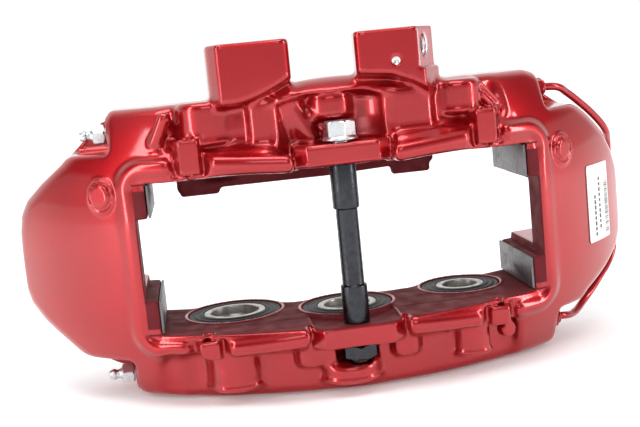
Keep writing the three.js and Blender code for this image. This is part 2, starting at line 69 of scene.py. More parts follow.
# The maker's own frame: the bridge bolt is X = Y = 0, the disc's middle is Z = 0, all in millimetres.
boltLow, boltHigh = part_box("bridge_bolt")
sleeveLow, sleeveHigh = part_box("bridge_sleeve")
datum = np.array([(boltLow.x + boltHigh.x) / 2, (boltLow.y + boltHigh.y) / 2, (sleeveLow.z + sleeveHigh.z) / 2]) / mm


def place(points):
    return (np.asarray(points, float) + datum) * mm


def localBox(node):
    low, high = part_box(node)
    return np.array(low) / mm - datum, np.array(high) / mm - datum


# ---- node graphs: one number is a Signal, and arithmetic on it adds Math nodes ----

class Signal:
    def __init__(self, graph, socket):
        self.graph, self.socket = graph, socket

    def math(self, operation, *others, flip=False):
        values = [self, *others]
        if flip:
            values.reverse()
        node = self.graph.add("ShaderNodeMath", {"operation": operation}, *values)
        return Signal(self.graph, node.outputs[0])

    def __add__(self, other):
        return self.math("ADD", other)

    __radd__ = __add__

    def __sub__(self, other):
        return self.math("SUBTRACT", other)

    def __rsub__(self, other):
        return self.math("SUBTRACT", other, flip=True)

    def __mul__(self, other):
        return self.math("MULTIPLY", other)

    __rmul__ = __mul__

    def steps(self, start, end):
        # 0 before start and 1 after end, smooth between them
        node = self.graph.add("ShaderNodeMapRange", {"interpolation_type": "SMOOTHSTEP", "clamp": True},
                              Value=self, **{"From Min": start, "From Max": end})
        return Signal(self.graph, node.outputs[0])


class Graph:
    def __init__(self, tree):
        self.tree = tree

    def add(self, kind, settings=None, *inOrder, **byName):
        node = self.tree.nodes.new(kind)
        for key, value in (settings or {}).items():
            setattr(node, key, value)
        for key, value in [*enumerate(inOrder), *byName.items()]:
            socket = node.inputs[key]
            if isinstance(value, Signal):
                value = value.socket
            if isinstance(value, bpy.types.NodeSocket):
                self.tree.links.new(value, socket)
            else:
                socket.default_value = value
        return node

    def signal(self, node, output=0):
        return Signal(self, node.outputs[output])

    def objectPoint(self):
        return self.add("ShaderNodeTexCoord").outputs["Object"]

    def axes(self):
        # Object coordinates in the maker's frame, in millimetres
        shifted = self.add("ShaderNodeMapping", None, Vector=self.objectPoint(),
                           Location=tuple(-datum), Scale=(1 / mm,) * 3)
        parts = self.add("ShaderNodeSeparateXYZ", None, shifted.outputs[0])
        return shifted.outputs[0], [self.signal(parts, i) for i in range(3)]

    def noise(self, point, scale, detail=2.0, roughness=0.5):
        node = self.add("ShaderNodeTexNoise", None, Vector=point, Scale=scale, Detail=detail, Roughness=roughness)
        return self.signal(node)

    def blendColors(self, factor, first, second):
        node = self.add("ShaderNodeMix", {"data_type": "RGBA"}, factor)
        for index, value in ((6, first), (7, second)):
            if isinstance(value, bpy.types.NodeSocket):
                self.tree.links.new(value, node.inputs[index])
            else:
                node.inputs[index].default_value = (*value, 1)
        return node.outputs[2]

    def bump(self, height, distance):
        return self.add("ShaderNodeBump", None, Height=height, Distance=distance * mm, Strength=1.0).outputs[0]


def newMaterial(name, fill):
    material = bpy.data.materials.new(name)
    material.use_nodes = True
    material.node_tree.nodes.clear()
    graph = Graph(material.node_tree)
    shader = graph.add("ShaderNodeBsdfPrincipled")
    graph.add("ShaderNodeOutputMaterial", None, shader.outputs[0])
    fill(graph, shader)
    return material


def setInputs(graph, shader, **values):
    for key, value in values.items():
        socket = shader.inputs[key.replace("_", " ")]
        if isinstance(value, Signal):
            value = value.socket
        if isinstance(value, bpy.types.NodeSocket):
            graph.tree.links.new(value, socket)
        else:
            socket.default_value = value


# ---- finishes ----
paint = {
    "red": (0.40, 0.009, 0.014), "deep": (0.29, 0.006, 0.010), "flakeRed": (0.75, 0.08, 0.08),
    "shadedOverspray": (0.13, 0.022, 0.026), "edge": (0.8, 0.1, 0.12, 1),
    "metallic": 0.75, "roughness": 0.31, "rubbed": 0.05, "specular": 0.15,
    "coat": 1.0, "coatRoughness": 0.09, "coatIndex": 1.5,
    "cloud": 0.03, "cloudShare": 0.4, "flake": 2.6, "flakeShare": 0.22, "peel": 0.32, "peelHeight": 0.018,
    "mistShadeLeast": 0.75, "mistShadePatches": 0.4, "mistDull": 0.4, "mistMatt": 0.8,
}
# the milled faces inside the opening: each pair is where an edge starts and where it ends
opening = {
    "face": (44.3, 44.8), "earFace": (46.2, 46.8), "earSide": (25.0, 25.6), "side": (119.3, 119.8),
    "collarFoot": (40.0, 41.0), "collarTop": (43.3, 43.6),
}
inlet = {
    "corner": (48.0, -5.0), "turn": 28.0, "run": 31.0, "inset": 12.0, "z": 107.0, "low": 95.0,
    "boreRadius": 5.2, "depth": 13.0, "step": 2.5, "chamfer": 1.6, "chamferDepth": 2.4,
}
inletOut = (math.cos(math.radians(inlet["turn"])), -math.sin(math.radians(inlet["turn"])))
inletAlong = (-inletOut[1], inletOut[0])
# bare metal on the inlet's face, in its bore and in the small spot drilled beside it
milled = {
    "tone": (0.72, 0.72, 0.73), "ringTone": (0.5, 0.5, 0.52), "ringShare": 0.35, "rings": 5.0, "ringHeight": 0.4,
    "roughness": 0.22, "ringRoughness": 0.15,
    "skin": (-0.9, -0.5), "past": (0.6, 1.0), "foot": (0.5, 1.2), "near": (0.2, 1.2), "far": (-1.5, -0.5),
    "boreEdge": (0.2, 0.7), "boreEnd": (-16.0, -15.0),
    "spotAt": (35.0, 100.0), "spotEdge": (2.0, 2.5), "spotFloor": (-3.0, -2.0),
}


def paintedCasting(graph, shader):
    point, (x, y, z) = graph.axes()
    flake = graph.noise(point, paint["flake"], 1.0, 0.6)
    cloud = graph.noise(point, paint["cloud"], 2.0)
    peel = graph.noise(point, paint["peel"], 2.0, 0.4)
    red = graph.blendColors(cloud.steps(0.3, 0.75) * paint["cloudShare"], paint["red"], paint["deep"])
    sparkle = graph.blendColors(flake.steps(0.58, 0.74) * paint["flakeShare"], red, paint["flakeRed"])

    # only a dry spray of paint reaches the milled faces inside the opening, leaving them matt; their much darker colour
    # there is painted shade in the recess
    fromMiddle, aside = z.math("ABSOLUTE"), x.math("ABSOLUTE")
    atWall = 1 - fromMiddle.steps(*opening["face"])
    atEar = (1 - fromMiddle.steps(*opening["earFace"])) * (1 - aside.steps(*opening["earSide"]))
    collars = (1 - fromMiddle.steps(*opening["collarTop"])) * fromMiddle.steps(*opening["collarFoot"])
    insideFaces = atWall.math("MAXIMUM", atEar) * (1 - aside.steps(*opening["side"])) * (1 - collars)
    mistAndShade = insideFaces * (paint["mistShadeLeast"] + graph.noise(point, 0.12, 3.0) * paint["mistShadePatches"])
    # painted shade: the faces inside the opening are darkened here, beyond their thin matt paint
    color = graph.blendColors(mistAndShade, sparkle, paint["shadedOverspray"])

    # the inlet's face, its bore and the drilled spot are cut after painting
    cornerX, cornerY = inlet["corner"]
    out = (x - cornerX) * inletOut[0] + (y - cornerY) * inletOut[1]
    along = (x - cornerX) * inletAlong[0] + (y - cornerY) * inletAlong[1]
    notPast = 1 - out.steps(*milled["past"])
    bare = out.steps(*milled["skin"]) * (z - inlet["low"]).steps(*milled["foot"]) * along.steps(*milled["near"])
    bare = bare * (1 - (along - inlet["run"]).steps(*milled["far"])) * notPast
    fromCenter, fromHeight = along - inlet["inset"], z - inlet["z"]
    reach = (fromCenter * fromCenter + fromHeight * fromHeight).math("SQRT")
    inBore = (1 - (reach - inlet["boreRadius"]).steps(*milled["boreEdge"])) * out.steps(*milled["boreEnd"])
    bare = bare.math("MAXIMUM", inBore * notPast)
    spotX, spotZ = x - milled["spotAt"][0], z - milled["spotAt"][1]
    spot = (spotX * spotX + spotZ * spotZ).math("SQRT")
    bare = bare.math("MAXIMUM", (1 - spot.steps(*milled["spotEdge"])) * (1 - y.steps(*milled["spotFloor"])))
    painted = 1 - bare

    lathe = (reach * milled["rings"]).math("SINE") * 0.5 + 0.5
    bareTone = graph.blendColors(lathe * milled["ringShare"], milled["tone"], milled["ringTone"])
    rubbed = graph.noise(point, 0.5, 4.0, 0.7)
    roughness = paint["roughness"] + mistAndShade * paint["mistDull"] + rubbed * paint["rubbed"]
    roughness = roughness * painted + bare * (milled["roughness"] + lathe * milled["ringRoughness"])
    height = peel * painted + lathe * bare * milled["ringHeight"]
    setInputs(graph, shader, Base_Color=graph.blendColors(bare, color, bareTone), Roughness=roughness,
              Metallic=paint["metallic"] * (1 - mistAndShade * paint["mistMatt"]) * painted + bare,
              Coat_Weight=paint["coat"] * (1 - mistAndShade).math("MAXIMUM", 0.0) * painted,
              Coat_Roughness=paint["coatRoughness"], Coat_IOR=paint["coatIndex"],
              Specular_IOR_Level=paint["specular"], Specular_Tint=paint["edge"],
              Normal=graph.bump(height, paint["peelHeight"]))


turning = {
    "feed": 0.9, "grime": 0.25, "grimeEdge": (0.42, 0.72), "grimeDull": 0.2, "ringDull": 0.06,
    "ringHeight": 0.6, "grain": 3.0, "grainHeight": 0.4, "relief": 0.012,
}


def turnedSteel(center, axis, color, dark, roughness, ring=6.0, stain=0.35):
    # fine rings about the piece's own axis, with stains over them
    def fill(graph, shader):
        point, axes = graph.axes()
        across = [i for i in range(3) if i != axis]
        first, second = [axes[i] - float(center[i]) for i in across]
        radius = (first * first + second * second).math("SQRT")
        rings = ((radius + axes[axis] * turning["feed"]) * ring).math("SINE") * 0.5 + 0.5
        grime = graph.noise(point, turning["grime"], 4.0, 0.65).steps(*turning["grimeEdge"])
        grain = graph.noise(point, turning["grain"], 2.0)
        height = rings * turning["ringHeight"] + grain * turning["grainHeight"]
        setInputs(graph, shader, Base_Color=graph.blendColors(grime * stain, color, dark), Metallic=1.0,
                  Roughness=roughness + grime * turning["grimeDull"] + rings * turning["ringDull"],
                  Normal=graph.bump(height, turning["relief"]))
    return fill


rubberLook = {
    "black": (0.018, 0.016, 0.017), "dusty": (0.07, 0.062, 0.06), "dust": 0.16, "dustShare": 0.5,
    "grain": 2.2, "grainHeight": 0.03, "roughness": 0.52, "dustDull": 0.25,
}


def mouldedRubber(graph, shader):
    point, _ = graph.axes()
    grain = graph.noise(point, rubberLook["grain"], 3.0, 0.7)
    dust = graph.noise(point, rubberLook["dust"], 4.0, 0.6).steps(0.5, 0.8)
    tone = graph.blendColors(dust * rubberLook["dustShare"], rubberLook["black"], rubberLook["dusty"])
    setInputs(graph, shader, Base_Color=tone, Roughness=rubberLook["roughness"] + dust * rubberLook["dustDull"],
              Normal=graph.bump(grain, rubberLook["grainHeight"]))


plateLook = {
    "tone": (0.20, 0.19, 0.195), "marked": (0.11, 0.10, 0.10), "stretch": (0.2, 0.06, 2.4), "marks": 0.14,
    "markShare": 0.55, "metallic": 0.75, "roughness": 0.36, "brushDull": 0.2, "markDull": 0.1, "relief": 0.02,
}


def groundPlate(graph, shader):
    point, axes = graph.axes()
    stretched = graph.add("ShaderNodeCombineXYZ", None, *[u * size for u, size in zip(axes, plateLook["stretch"])])
    brushed = graph.noise(stretched.outputs[0], 1.0, 4.0, 0.7)
    marks = graph.noise(point, plateLook["marks"], 5.0, 0.7).steps(0.5, 0.68)
    tone = graph.blendColors(marks * plateLook["markShare"], plateLook["tone"], plateLook["marked"])
    roughness = plateLook["roughness"] + brushed * plateLook["brushDull"] + marks * plateLook["markDull"]
    setInputs(graph, shader, Base_Color=tone, Metallic=plateLook["metallic"], Roughness=roughness,
              Normal=graph.bump(brushed, plateLook["relief"]))


filmLook = {"tone": (0.86, 0.85, 0.84), "aged": (0.72, 0.71, 0.70), "fibre": 1.4, "share": 0.3, "roughness": 0.42}
inkLook = {"tone": (0.035, 0.035, 0.04), "worn": (0.16, 0.16, 0.17), "wear": 1.8, "share": 0.6, "roughness": 0.45}


def labelFilm(graph, shader):
    point, _ = graph.axes()
    fibre = graph.noise(point, filmLook["fibre"], 4.0, 0.65)
    tone = graph.blendColors(fibre.steps(0.45, 0.8) * filmLook["share"], filmLook["tone"], filmLook["aged"])
    setInputs(graph, shader, Base_Color=tone, Roughness=filmLook["roughness"] + fibre * 0.15,
              Normal=graph.bump(fibre, 0.01))


def printInk(graph, shader):
    point, _ = graph.axes()
    wear = graph.noise(point, inkLook["wear"], 3.0, 0.7)
    tone = graph.blendColors(wear.steps(0.45, 0.7) * inkLook["share"], inkLook["tone"], inkLook["worn"])
    setInputs(graph, shader, Base_Color=tone, Roughness=inkLook["roughness"] + wear * 0.15)


upright = (0, 0, 0), 2
casting = newMaterial("satin red paint", paintedCasting)
rubber = newMaterial("moulded rubber", mouldedRubber)
plateFinish = newMaterial("ground plate", groundPlate)
filmFinish = newMaterial("label film", labelFilm)
inkFinish = newMaterial("label ink", printInk)
boltFinish = newMaterial("bright zinc", turnedSteel(*upright, (0.70, 0.72, 0.74), (0.42, 0.42, 0.42), 0.24))
blackFinish = newMaterial("black plated steel", turnedSteel(
    *upright, (0.05, 0.052, 0.058), (0.02, 0.021, 0.024), 0.2, ring=1.3, stain=0.25))
dullFinish = newMaterial("dull screw steel", turnedSteel(
    *upright, (0.16, 0.15, 0.15), (0.07, 0.065, 0.06), 0.4, ring=4.0))
print("finishes made")


# ---- meshes ----

def addPiece(name, points, faces, material, body, replaced=(), smooth=35.0):
    mesh = bpy.data.meshes.new(name)
    mesh.from_pydata([tuple(p) for p in place(points)], [], [tuple(f) for f in faces])
    return finishPiece(name, mesh, material, body, replaced, smooth)


def finishPiece(name, mesh, material, body, replaced=(), smooth=35.0):
    mesh.name = name
    mesh.validate()
    work = bmesh.new()
    work.from_mesh(mesh)
    bmesh.ops.remove_doubles(work, verts=work.verts, dist=0.004 * mm)
    bmesh.ops.recalc_face_normals(work, faces=work.faces)
    work.to_mesh(mesh)
    work.free()
    mesh.materials.clear()
    mesh.materials.append(material)
    for polygon in mesh.polygons:
        polygon.material_index = 0
    mesh.shade_smooth()
    mesh.set_sharp_from_angle(angle=math.radians(smooth))
    piece = bpy.data.objects.new(name, mesh)
    scene.collection.objects.link(piece)
    if body:
        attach(piece, body)
    if replaced:
        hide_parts(*replaced)
    return piece


def roundedProfile(corners, radii, steps=4):
    # a profile of [radius, height] corners with each corner rounded
    result = []
    for i, corner in enumerate(corners):
        size = radii[i] if isinstance(radii, (list, tuple)) else radii
        if i in (0, len(corners) - 1) or size <= 0:
            result.append(tuple(corner))
            continue
        here = Vector(corner)
        back, ahead = Vector(corners[i - 1]) - here, Vector(corners[i + 1]) - here
        reach = min(size, back.length * 0.45, ahead.length * 0.45)
        start, end = here + back.normalized() * reach, here + ahead.normalized() * reach
        for k in range(steps + 1):
            t = k / steps
            result.append(tuple(start * (1 - t) ** 2 + here * 2 * t * (1 - t) + end * t ** 2))
    return result


def turnedMesh(profile, steps, limit=None):
    # a turned form about Z; limit(angle) holds in the radius, as on a hexagon
    rings, points, faces = [], [], []
    angles = [2 * math.pi * i / steps for i in range(steps)]
    for radius, height in profile:
        if radius < 1e-6:
            rings.append([len(points)])
            points.append((0, 0, height))
            continue
        start = len(points)
        for angle in angles:
            held = min(radius, limit(angle)) if limit else radius
            points.append((held * math.cos(angle), held * math.sin(angle), height))
        rings.append(list(range(start, start + steps)))
    closed = profile[0] == profile[-1]
    if closed:
        rings[-1] = rings[0]
    for low, high in zip(rings, rings[1:]):
        for i in range(steps):
            j = (i + 1) % steps
            corners = [low[i % len(low)], low[j % len(low)], high[j % len(high)], high[i % len(high)]]
            unique = list(dict.fromkeys(corners))
            if len(unique) > 2:
                faces.append(unique)
    return np.array(points), faces


def joinMeshes(*meshes):
    points, faces, count = [], [], 0
    for meshPoints, meshFaces in meshes:
        points.append(np.asarray(meshPoints))
        faces += [[i + count for i in face] for face in meshFaces]
        count += len(meshPoints)
    return np.concatenate(points), faces


def laid(mesh, direction, origin):
    # an upright mesh laid along X, pointing left (-1) or right (1)
    points, faces = mesh
    x, y, z = points.T
    return np.stack((direction * z, y, -direction * x), 1) + np.array(origin, float), faces


def hexLimit(flats, turn=0.0):
    step = math.pi / 3
    return lambda angle: flats / 2 / math.cos((angle - turn + step / 2) % step - step / 2)


# ---- the casting, as a field of distances ----
body = {
    "axleY": 214.0, "outerRadius": 229.5, "halfWidth": 88.0, "innerFace": 44.0,
    "section": [(229.5, 46.0), (226.0, 60.0), (211.0, 88.0)],
    "leftEnd": [(-126, -89), (-150, -74), (-172, -53.5), (-187, -42), (-196.5, -32), (-201, -22), (-201.5, -8),
                (-201, 2), (-199.5, 14), (-196, 25), (-189.5, 34.5), (-177, 45.5), (-162, 57), (-139, 80),
                (-128, 89)],
    "rightEnd": [(122, 89), (136, 81), (150, 68), (168, 54), (183.5, 40), (193.5, 27), (199.5, 16), (201, 8),
                 (201, -20), (200, -29), (193.5, -39), (180, -47), (158, -58), (142, -75), (128, -89)],
    "backEdge": [(202, 103), (146, 96), (112, 87), (74.5, 70), (0, 61), (-68, 70), (-112, 87), (-146, 96),
                 (-202, 103)],
    "ahead": -60.0, "edgeRound": 6.0,
    "reach": [(-210, 210), (-20, 125), (-95, 125)], "margin": 4.0,
    "step": 1.25, "quickStep": 2.3, "mostTriangles": 190000, "flatFrom": 1.5, "flatOver": 3.0,
}
boot = {"width": 9.4}


def allOf(radius, *gaps):
    total, inner = 0.0, None
    for gap in gaps:
        shifted = gap + radius
        total = total + np.maximum(shifted, 0) ** 2
        inner = shifted if inner is None else np.maximum(inner, shifted)
    return np.minimum(inner, 0) + np.sqrt(total) - radius


def anyOf(radius, *gaps):
    return -allOf(radius, *[-gap for gap in gaps])


def between(u, low, high):
    return np.abs(u - (low + high) / 2) - (high - low) / 2


def outline(u, v, corners):
    # distance to a closed outline, negative inside it
    best, inside = None, None
    for (u0, v0), (u1, v1) in zip(corners, corners[1:] + corners[:1]):
        du, dv = u1 - u0, v1 - v0
        along = np.clip(((u - u0) * du + (v - v0) * dv) / (du * du + dv * dv), 0, 1)
        gap = (u - u0 - along * du) ** 2 + (v - v0 - along * dv) ** 2
        best = gap if best is None else np.minimum(best, gap)
        crosses = ((v0 <= v) != (v1 <= v)) & (((u - u0) * dv < (v - v0) * du) == (dv > 0))
        inside = crosses if inside is None else inside ^ crosses
    return np.where(inside, -1.0, 1.0) * np.sqrt(best)


class Casting:
    def __init__(self, low, high, step):
        self.step = step
        self.axes = [np.arange(a, b + step, step, dtype=np.float32) for a, b in zip(low, high)]
        self.value = np.full([len(a) for a in self.axes], 60, np.float32)

    def shape(self, makeGap, box, blend, carve=False):
        # joins a shape to the casting, or cuts it away; box is the part of the casting that it can reach
        margin = blend + 3 * self.step
        cuts = [slice(*np.searchsorted(axis, (low - margin, high + margin)))
                for axis, (low, high) in zip(self.axes, box)]
        x, y, z = [axis[cut] for axis, cut in zip(self.axes, cuts)]
        gap = makeGap(x[:, None, None], y[None, :, None], z[None, None, :])
        part = self.value[tuple(cuts)]
        self.value[tuple(cuts)] = allOf(blend, part, -gap) if carve else anyOf(blend, part, gap)

    def join(self, makeGap, box, blend=2.0):
        self.shape(makeGap, box, blend)

    def carve(self, makeGap, box, blend=1.2):
        self.shape(makeGap, box, blend, carve=True)


def fromAxle(x, y):
    return np.hypot(x, body["axleY"] - y)


def onSurface(x, radius):
    # Y of the point at that radius from the axle
    return body["axleY"] - math.sqrt(radius ** 2 - x ** 2)


def capsule(start, end, radius):
    a, b = np.array(start, float), np.array(end, float)
    span = b - a

    def gap(x, y, z):
        along = ((x - a[0]) * span[0] + (y - a[1]) * span[1] + (z - a[2]) * span[2]) / (span @ span)
        along = np.clip(along, 0, 1)
        return np.sqrt((x - a[0] - along * span[0]) ** 2 + (y - a[1] - along * span[1]) ** 2
                       + (z - a[2] - along * span[2]) ** 2) - radius
    low, high = np.minimum(a, b) - radius, np.maximum(a, b) + radius
    return gap, list(zip(low, high))


def rod(start, end, radius):
    # a plain round bar with flat ends
    a, b = np.array(start, float), np.array(end, float)
    length = np.linalg.norm(b - a)
    way = (b - a) / length

    def gap(x, y, z):
        along = (x - a[0]) * way[0] + (y - a[1]) * way[1] + (z - a[2]) * way[2]
        square = (x - a[0]) ** 2 + (y - a[1]) ** 2 + (z - a[2]) ** 2
        return np.maximum(np.sqrt(np.maximum(square - along ** 2, 0)) - radius, between(along, 0, length))
    low, high = np.minimum(a, b) - radius, np.maximum(a, b) + radius
    return gap, list(zip(low, high))


def outerForm(x, y, z):
    radius, out = fromAxle(x, y), np.abs(z)
    corners = body["section"]
    gaps = [radius - body["outerRadius"], out - body["halfWidth"]]
    for (r0, z0), (r1, z1) in zip(corners, corners[1:]):
        dr, dz = r1 - r0, z1 - z0
        gaps.append(((radius - r0) * dz - (out - z0) * dr) / math.hypot(dr, dz))
    section = allOf(body["edgeRound"], *gaps)
    face = outline(x, z, body["leftEnd"] + body["rightEnd"])
    ends = body["backEdge"][0][0]
    edge = outline(x, y, [(ends, body["ahead"]), *body["backEdge"], (-ends, body["ahead"])])
    return allOf(body["edgeRound"], section, face, edge)


panel = {
    "depth": {1: 214.5, -1: 209.5}, "inner": {1: 60.0, -1: 57.5}, "outer": 120.0, "half": 99.0, "back": 60.0,
    "corner": 7.0, "blend": 5.0, "zone": [(-110, 110), (-20, 70)], "span": (50, 95),
}


def panels(side):
    def gap(x, y, z):
        return allOf(panel["corner"], panel["depth"][side] - fromAxle(x, y),
                     between(side * z, panel["inner"][side], panel["outer"]),
                     between(x, -panel["half"], panel["half"]), y - panel["back"])
    return gap


# the hollows about the bridge bolt's head and its nut, each a scoop with an oval edge
hollows = {
    "head": {"center": (-4, -8), "half": (33, 24), "depth": 26, "span": (50, 85.5), "corner": 6.0,
             "zone": [(-40, 32), (-34, 18), (50, 86)]},
    "nut": {"center": (0, -9), "half": (14.5, 21.5), "depth": 16, "span": (-67.6, -50), "corner": 2.0,
            "zone": [(-26, 25), (-32, 14), (-72, -48)]},
}


def hollow(name):
    size = hollows[name]
    (x0, y0), (halfX, halfY) = size["center"], size["half"]

    def gap(x, y, z):
        scoop = (np.sqrt(((x - x0) / halfX) ** 2 + ((y - y0) / halfY) ** 2) - 1) * size["depth"]
        return allOf(size["corner"], scoop, between(z, *size["span"]))
    return gap, size["zone"]


# upright bosses: side, middle X, radius, lower and upper height, radius reached from the axle
bosses = {
    1: [(-72.0, 18.0, 64.0, 87.5), (73.0, 13.5, 67.5, 86.0)],
    -1: [(-71.0, 17.0, 54.0, 80.0), (-5.0, 18.0, 57.0, 80.0), (69.5, 11.0, 56.0, 76.0)],
}
bossSize = {
    "front": 222.5, "corner": 4.0, "blend": 3.0,
    "lipOut": 2.4, "lipFront": 224.1, "lipHeight": 3.6, "lipTop": {1: 2.6, -1: 0.6}, "lipBlend": 1.6,
    "lowPair": ((-27, 10), (28, 9)), "lowSpan": (54, 70), "lowFront": 219,
    "mid": (-2, 13.5, 70.5, 85.5, 210.5), "midZone": [(-16, 12), (3, 31), (70, 86)], "midBlend": 2.5,
    "midFoot": ((-2.5, 21, 58), (-2.5, 21, 70), 9.0),
}


def boss(side, x0, radius, low, high, front):
    # an upright half-round boss, domed at its outer end
    y0 = onSurface(x0, front - radius)

    def gap(x, y, z):
        return allOf(bossSize["corner"], np.hypot(x - x0, y - y0) - radius, between(side * z, low, high))
    return gap, [(x0 - radius, x0 + radius), (y0 - radius, y0 + radius), sorted((side * low, side * high))]


frameRing = {
    "halfX": 124.8, "halfZ": 52.8, "nearEar": 49.4, "corner": 12.0, "halfBand": 5.2, "proud": 0.6, "foot": 212.0,
    "gapFrom": 75.0, "gapTo": 95.5, "earGap": 28.0, "round": 4.6, "blend": 2.2, "valley": 224.5, "endDrop": 1.5,
    "valleySpan": (59, 68), "valleyHalf": 108, "endSpan": (47, 68), "hollowDepth": 217.5, "hollowSpan": (36, 70),
    "hollowHalf": 30, "zone": [(-131, 131), (-20, 42), (-61, 61)], "valleyBlend": 2.5,
}


def ringAround(x, y, z):
    # the raised frame about the window, broken at the pin blocks and at the ears
    half = frameRing
    corner = half["corner"]
    halfZ = np.interp(np.abs(x), (half["earGap"], half["gapFrom"]), (half["nearEar"], half["halfZ"]))
    inX, inZ = np.abs(x) - (half["halfX"] - corner), np.abs(z) - (halfZ - corner)
    rectangle = np.hypot(np.maximum(inX, 0), np.maximum(inZ, 0)) + np.minimum(np.maximum(inX, inZ), 0) - corner
    band = np.abs(rectangle) - half["halfBand"]
    broken = np.maximum(-between(np.abs(x), half["gapFrom"], half["gapTo"]), half["earGap"] - np.abs(x))
    radius = fromAxle(x, y)
    return allOf(half["round"], band, radius - body["outerRadius"] - half["proud"], half["foot"] - radius, broken)


def railValley(x, y, z):
    # the wall's own face lies lower than the rails that stand on it
    half = frameRing
    radius = fromAxle(x, y)
    upper = allOf(3.0, half["valley"] - radius, between(np.abs(z), *half["valleySpan"]),
                  np.abs(x) - half["valleyHalf"])
    ends = allOf(2.0, half["valley"] - half["endDrop"] - radius, between(np.abs(z), *half["endSpan"]),
                 between(np.abs(x), half["gapFrom"] + 0.5, half["gapTo"] - 1))
    return np.minimum(upper, ends)


def earHollow(x, y, z):
    return allOf(3.0, frameRing["hollowDepth"] - fromAxle(x, y), between(np.abs(z), *frameRing["hollowSpan"]),
                 np.abs(x) - frameRing["hollowHalf"])


blocks = {
    "x": 85.0, "half": 5.4, "front": 0.5, "back": 24.0, "low": 48.0, "tops": {1: 68.0, -1: 59.0}, "draft": 0.34,
    "corner": 1.3, "blend": 2.0, "reach": 16.0, "holeY": 7.0, "holeRadius": 2.8,
}


def pinBlock(side, end):
    span = (blocks["low"], blocks["tops"][side])

    def gap(x, y, z):
        half = blocks["half"] + blocks["draft"] * np.maximum(y - blocks["front"], 0)
        return allOf(blocks["corner"], np.abs(x - end * blocks["x"]) - half,
                     between(y, blocks["front"], blocks["back"]), between(side * z, *span))
    x0, reach = end * blocks["x"], blocks["reach"]
    return gap, [(x0 - reach, x0 + reach), (0, blocks["back"]), sorted((side * span[0], side * span[1]))]


ear = {
    "half": 20.0, "flank": 7.0, "front": -11.8, "back": 36.0, "innerZ": 46.0, "topZ": 58.5, "under": 2.0,
    "corner": 2.2, "blend": 2.0, "zone": [(-28, 28), (-13, 37)], "span": (44, 59),
    "boreRadius": 5.3, "seatRadius": 12.0, "seatTop": {1: 70.2, -1: -67.6}, "nutWell": (-60, -70.4, 6.4),
}


def earShape(side):
    half, flank, front, back = ear["half"], ear["flank"], ear["front"], ear["back"]
    corners = [(-half, front), (half, front), (half + flank, front + flank), (half + flank, back),
               (-half - flank, back), (-half - flank, front + flank)]

    def gap(x, y, z):
        return allOf(ear["corner"], outline(x, y, corners),
                     between(side * z, ear["innerZ"] - ear["under"], ear["topZ"]))
    return gap, [*ear["zone"], sorted(side * z for z in ear["span"])]


# round casting marks: X, Z, radius, radius from the axle, height, ringed or not, blend
marks = [(-138.7, 38.5, 7.0, 229.5, 1.5, True, 0.8), (139.0, 37.0, 6.2, 229.5, 1.5, True, 0.8),
         (91.0, -64.0, 5.0, 222.5, 2.2, False, 1.5)]
markRing = {"out": 2.6, "half": 0.9, "share": 0.55, "sunk": 5.0, "reach": 4.0}


def pad(x0, z0, radius, surface, height, ringed):
    # a round mark standing on the outer face, square to it
    y0 = onSurface(x0, surface)
    out = np.array([x0, y0 - body["axleY"]]) / surface

    def gap(x, y, z):
        across = (x - x0) * -out[1] + (y - y0) * out[0]
        lift = (x - x0) * out[0] + (y - y0) * out[1]
        reach = np.hypot(across, z - z0)
        floor = -markRing["sunk"] - lift
        disc = allOf(0.8, reach - radius, lift - height, floor)
        if not ringed:
            return disc
        ring = allOf(0.5, np.abs(reach - radius - markRing["out"]) - markRing["half"],
                     lift - height * markRing["share"], floor)
        return np.minimum(disc, ring)
    size = radius + markRing["reach"]
    return gap, [(x0 - size, x0 + size), (y0 - size, y0 + size), (z0 - size, z0 + size)]


lugs = {
    "left": -44.0, "right": 32.0, "half": 20.0, "top": 118.0, "front": -5.0, "back": 58.0, "soft": 5.5,
    "shallow": 0.2, "steep": 1.6, "steepFrom": 18.0, "leftTaper": 0.03, "rightTaper": 0.13,
    "leftSide": 6.0, "leftSlant": (14, -6), "leftLow": 85.0, "leftRise": 11.0, "leftRiseFrom": -56.0,
    "leftRiseOver": 30.0, "rightLowX": (14, 32, 44, 53), "rightLowZ": (95, 93, 88, 83),
    "leftCorner": 1.8, "rightCorner": 1.4, "blend": 4.0,
    "leftZone": [(-72, -20), (-7, 60), (80, 120)], "rightZone": [(8, 68), (-7, 60), (80, 120)],
    "boltZ": 101.0, "boltRadius": 6.5, "boltDepth": 34.0, "past": 62.0,
    "spot": 2.2, "spotX": 35.0, "spotZ": 100.0, "spotY": (-8, -3.6),
}


def underside(y):
    # the overhang at the lug's front is shallow, and behind it the lug runs down into the body
    return np.maximum((y - lugs["front"]) * lugs["shallow"], (y - lugs["steepFrom"]) * lugs["steep"])


def leftLug(x, y, z):
    half, middle = lugs["half"], lugs["left"]
    behind = y - lugs["front"]
    soft = allOf(lugs["soft"], -behind, x - (middle + half) - behind * lugs["leftTaper"])
    run, fall = lugs["leftSlant"]
    slant = ((middle - half - x) * run + behind * fall) / math.hypot(run, fall)
    rise = np.clip((x - lugs["leftRiseFrom"]) / lugs["leftRiseOver"], 0, 1) ** 1.5
    low = lugs["leftLow"] + lugs["leftRise"] * rise - underside(y)
    return allOf(lugs["leftCorner"], soft, middle - half - lugs["leftSide"] - x, slant, y - lugs["back"],
                 np.maximum(z - lugs["top"], low - z))


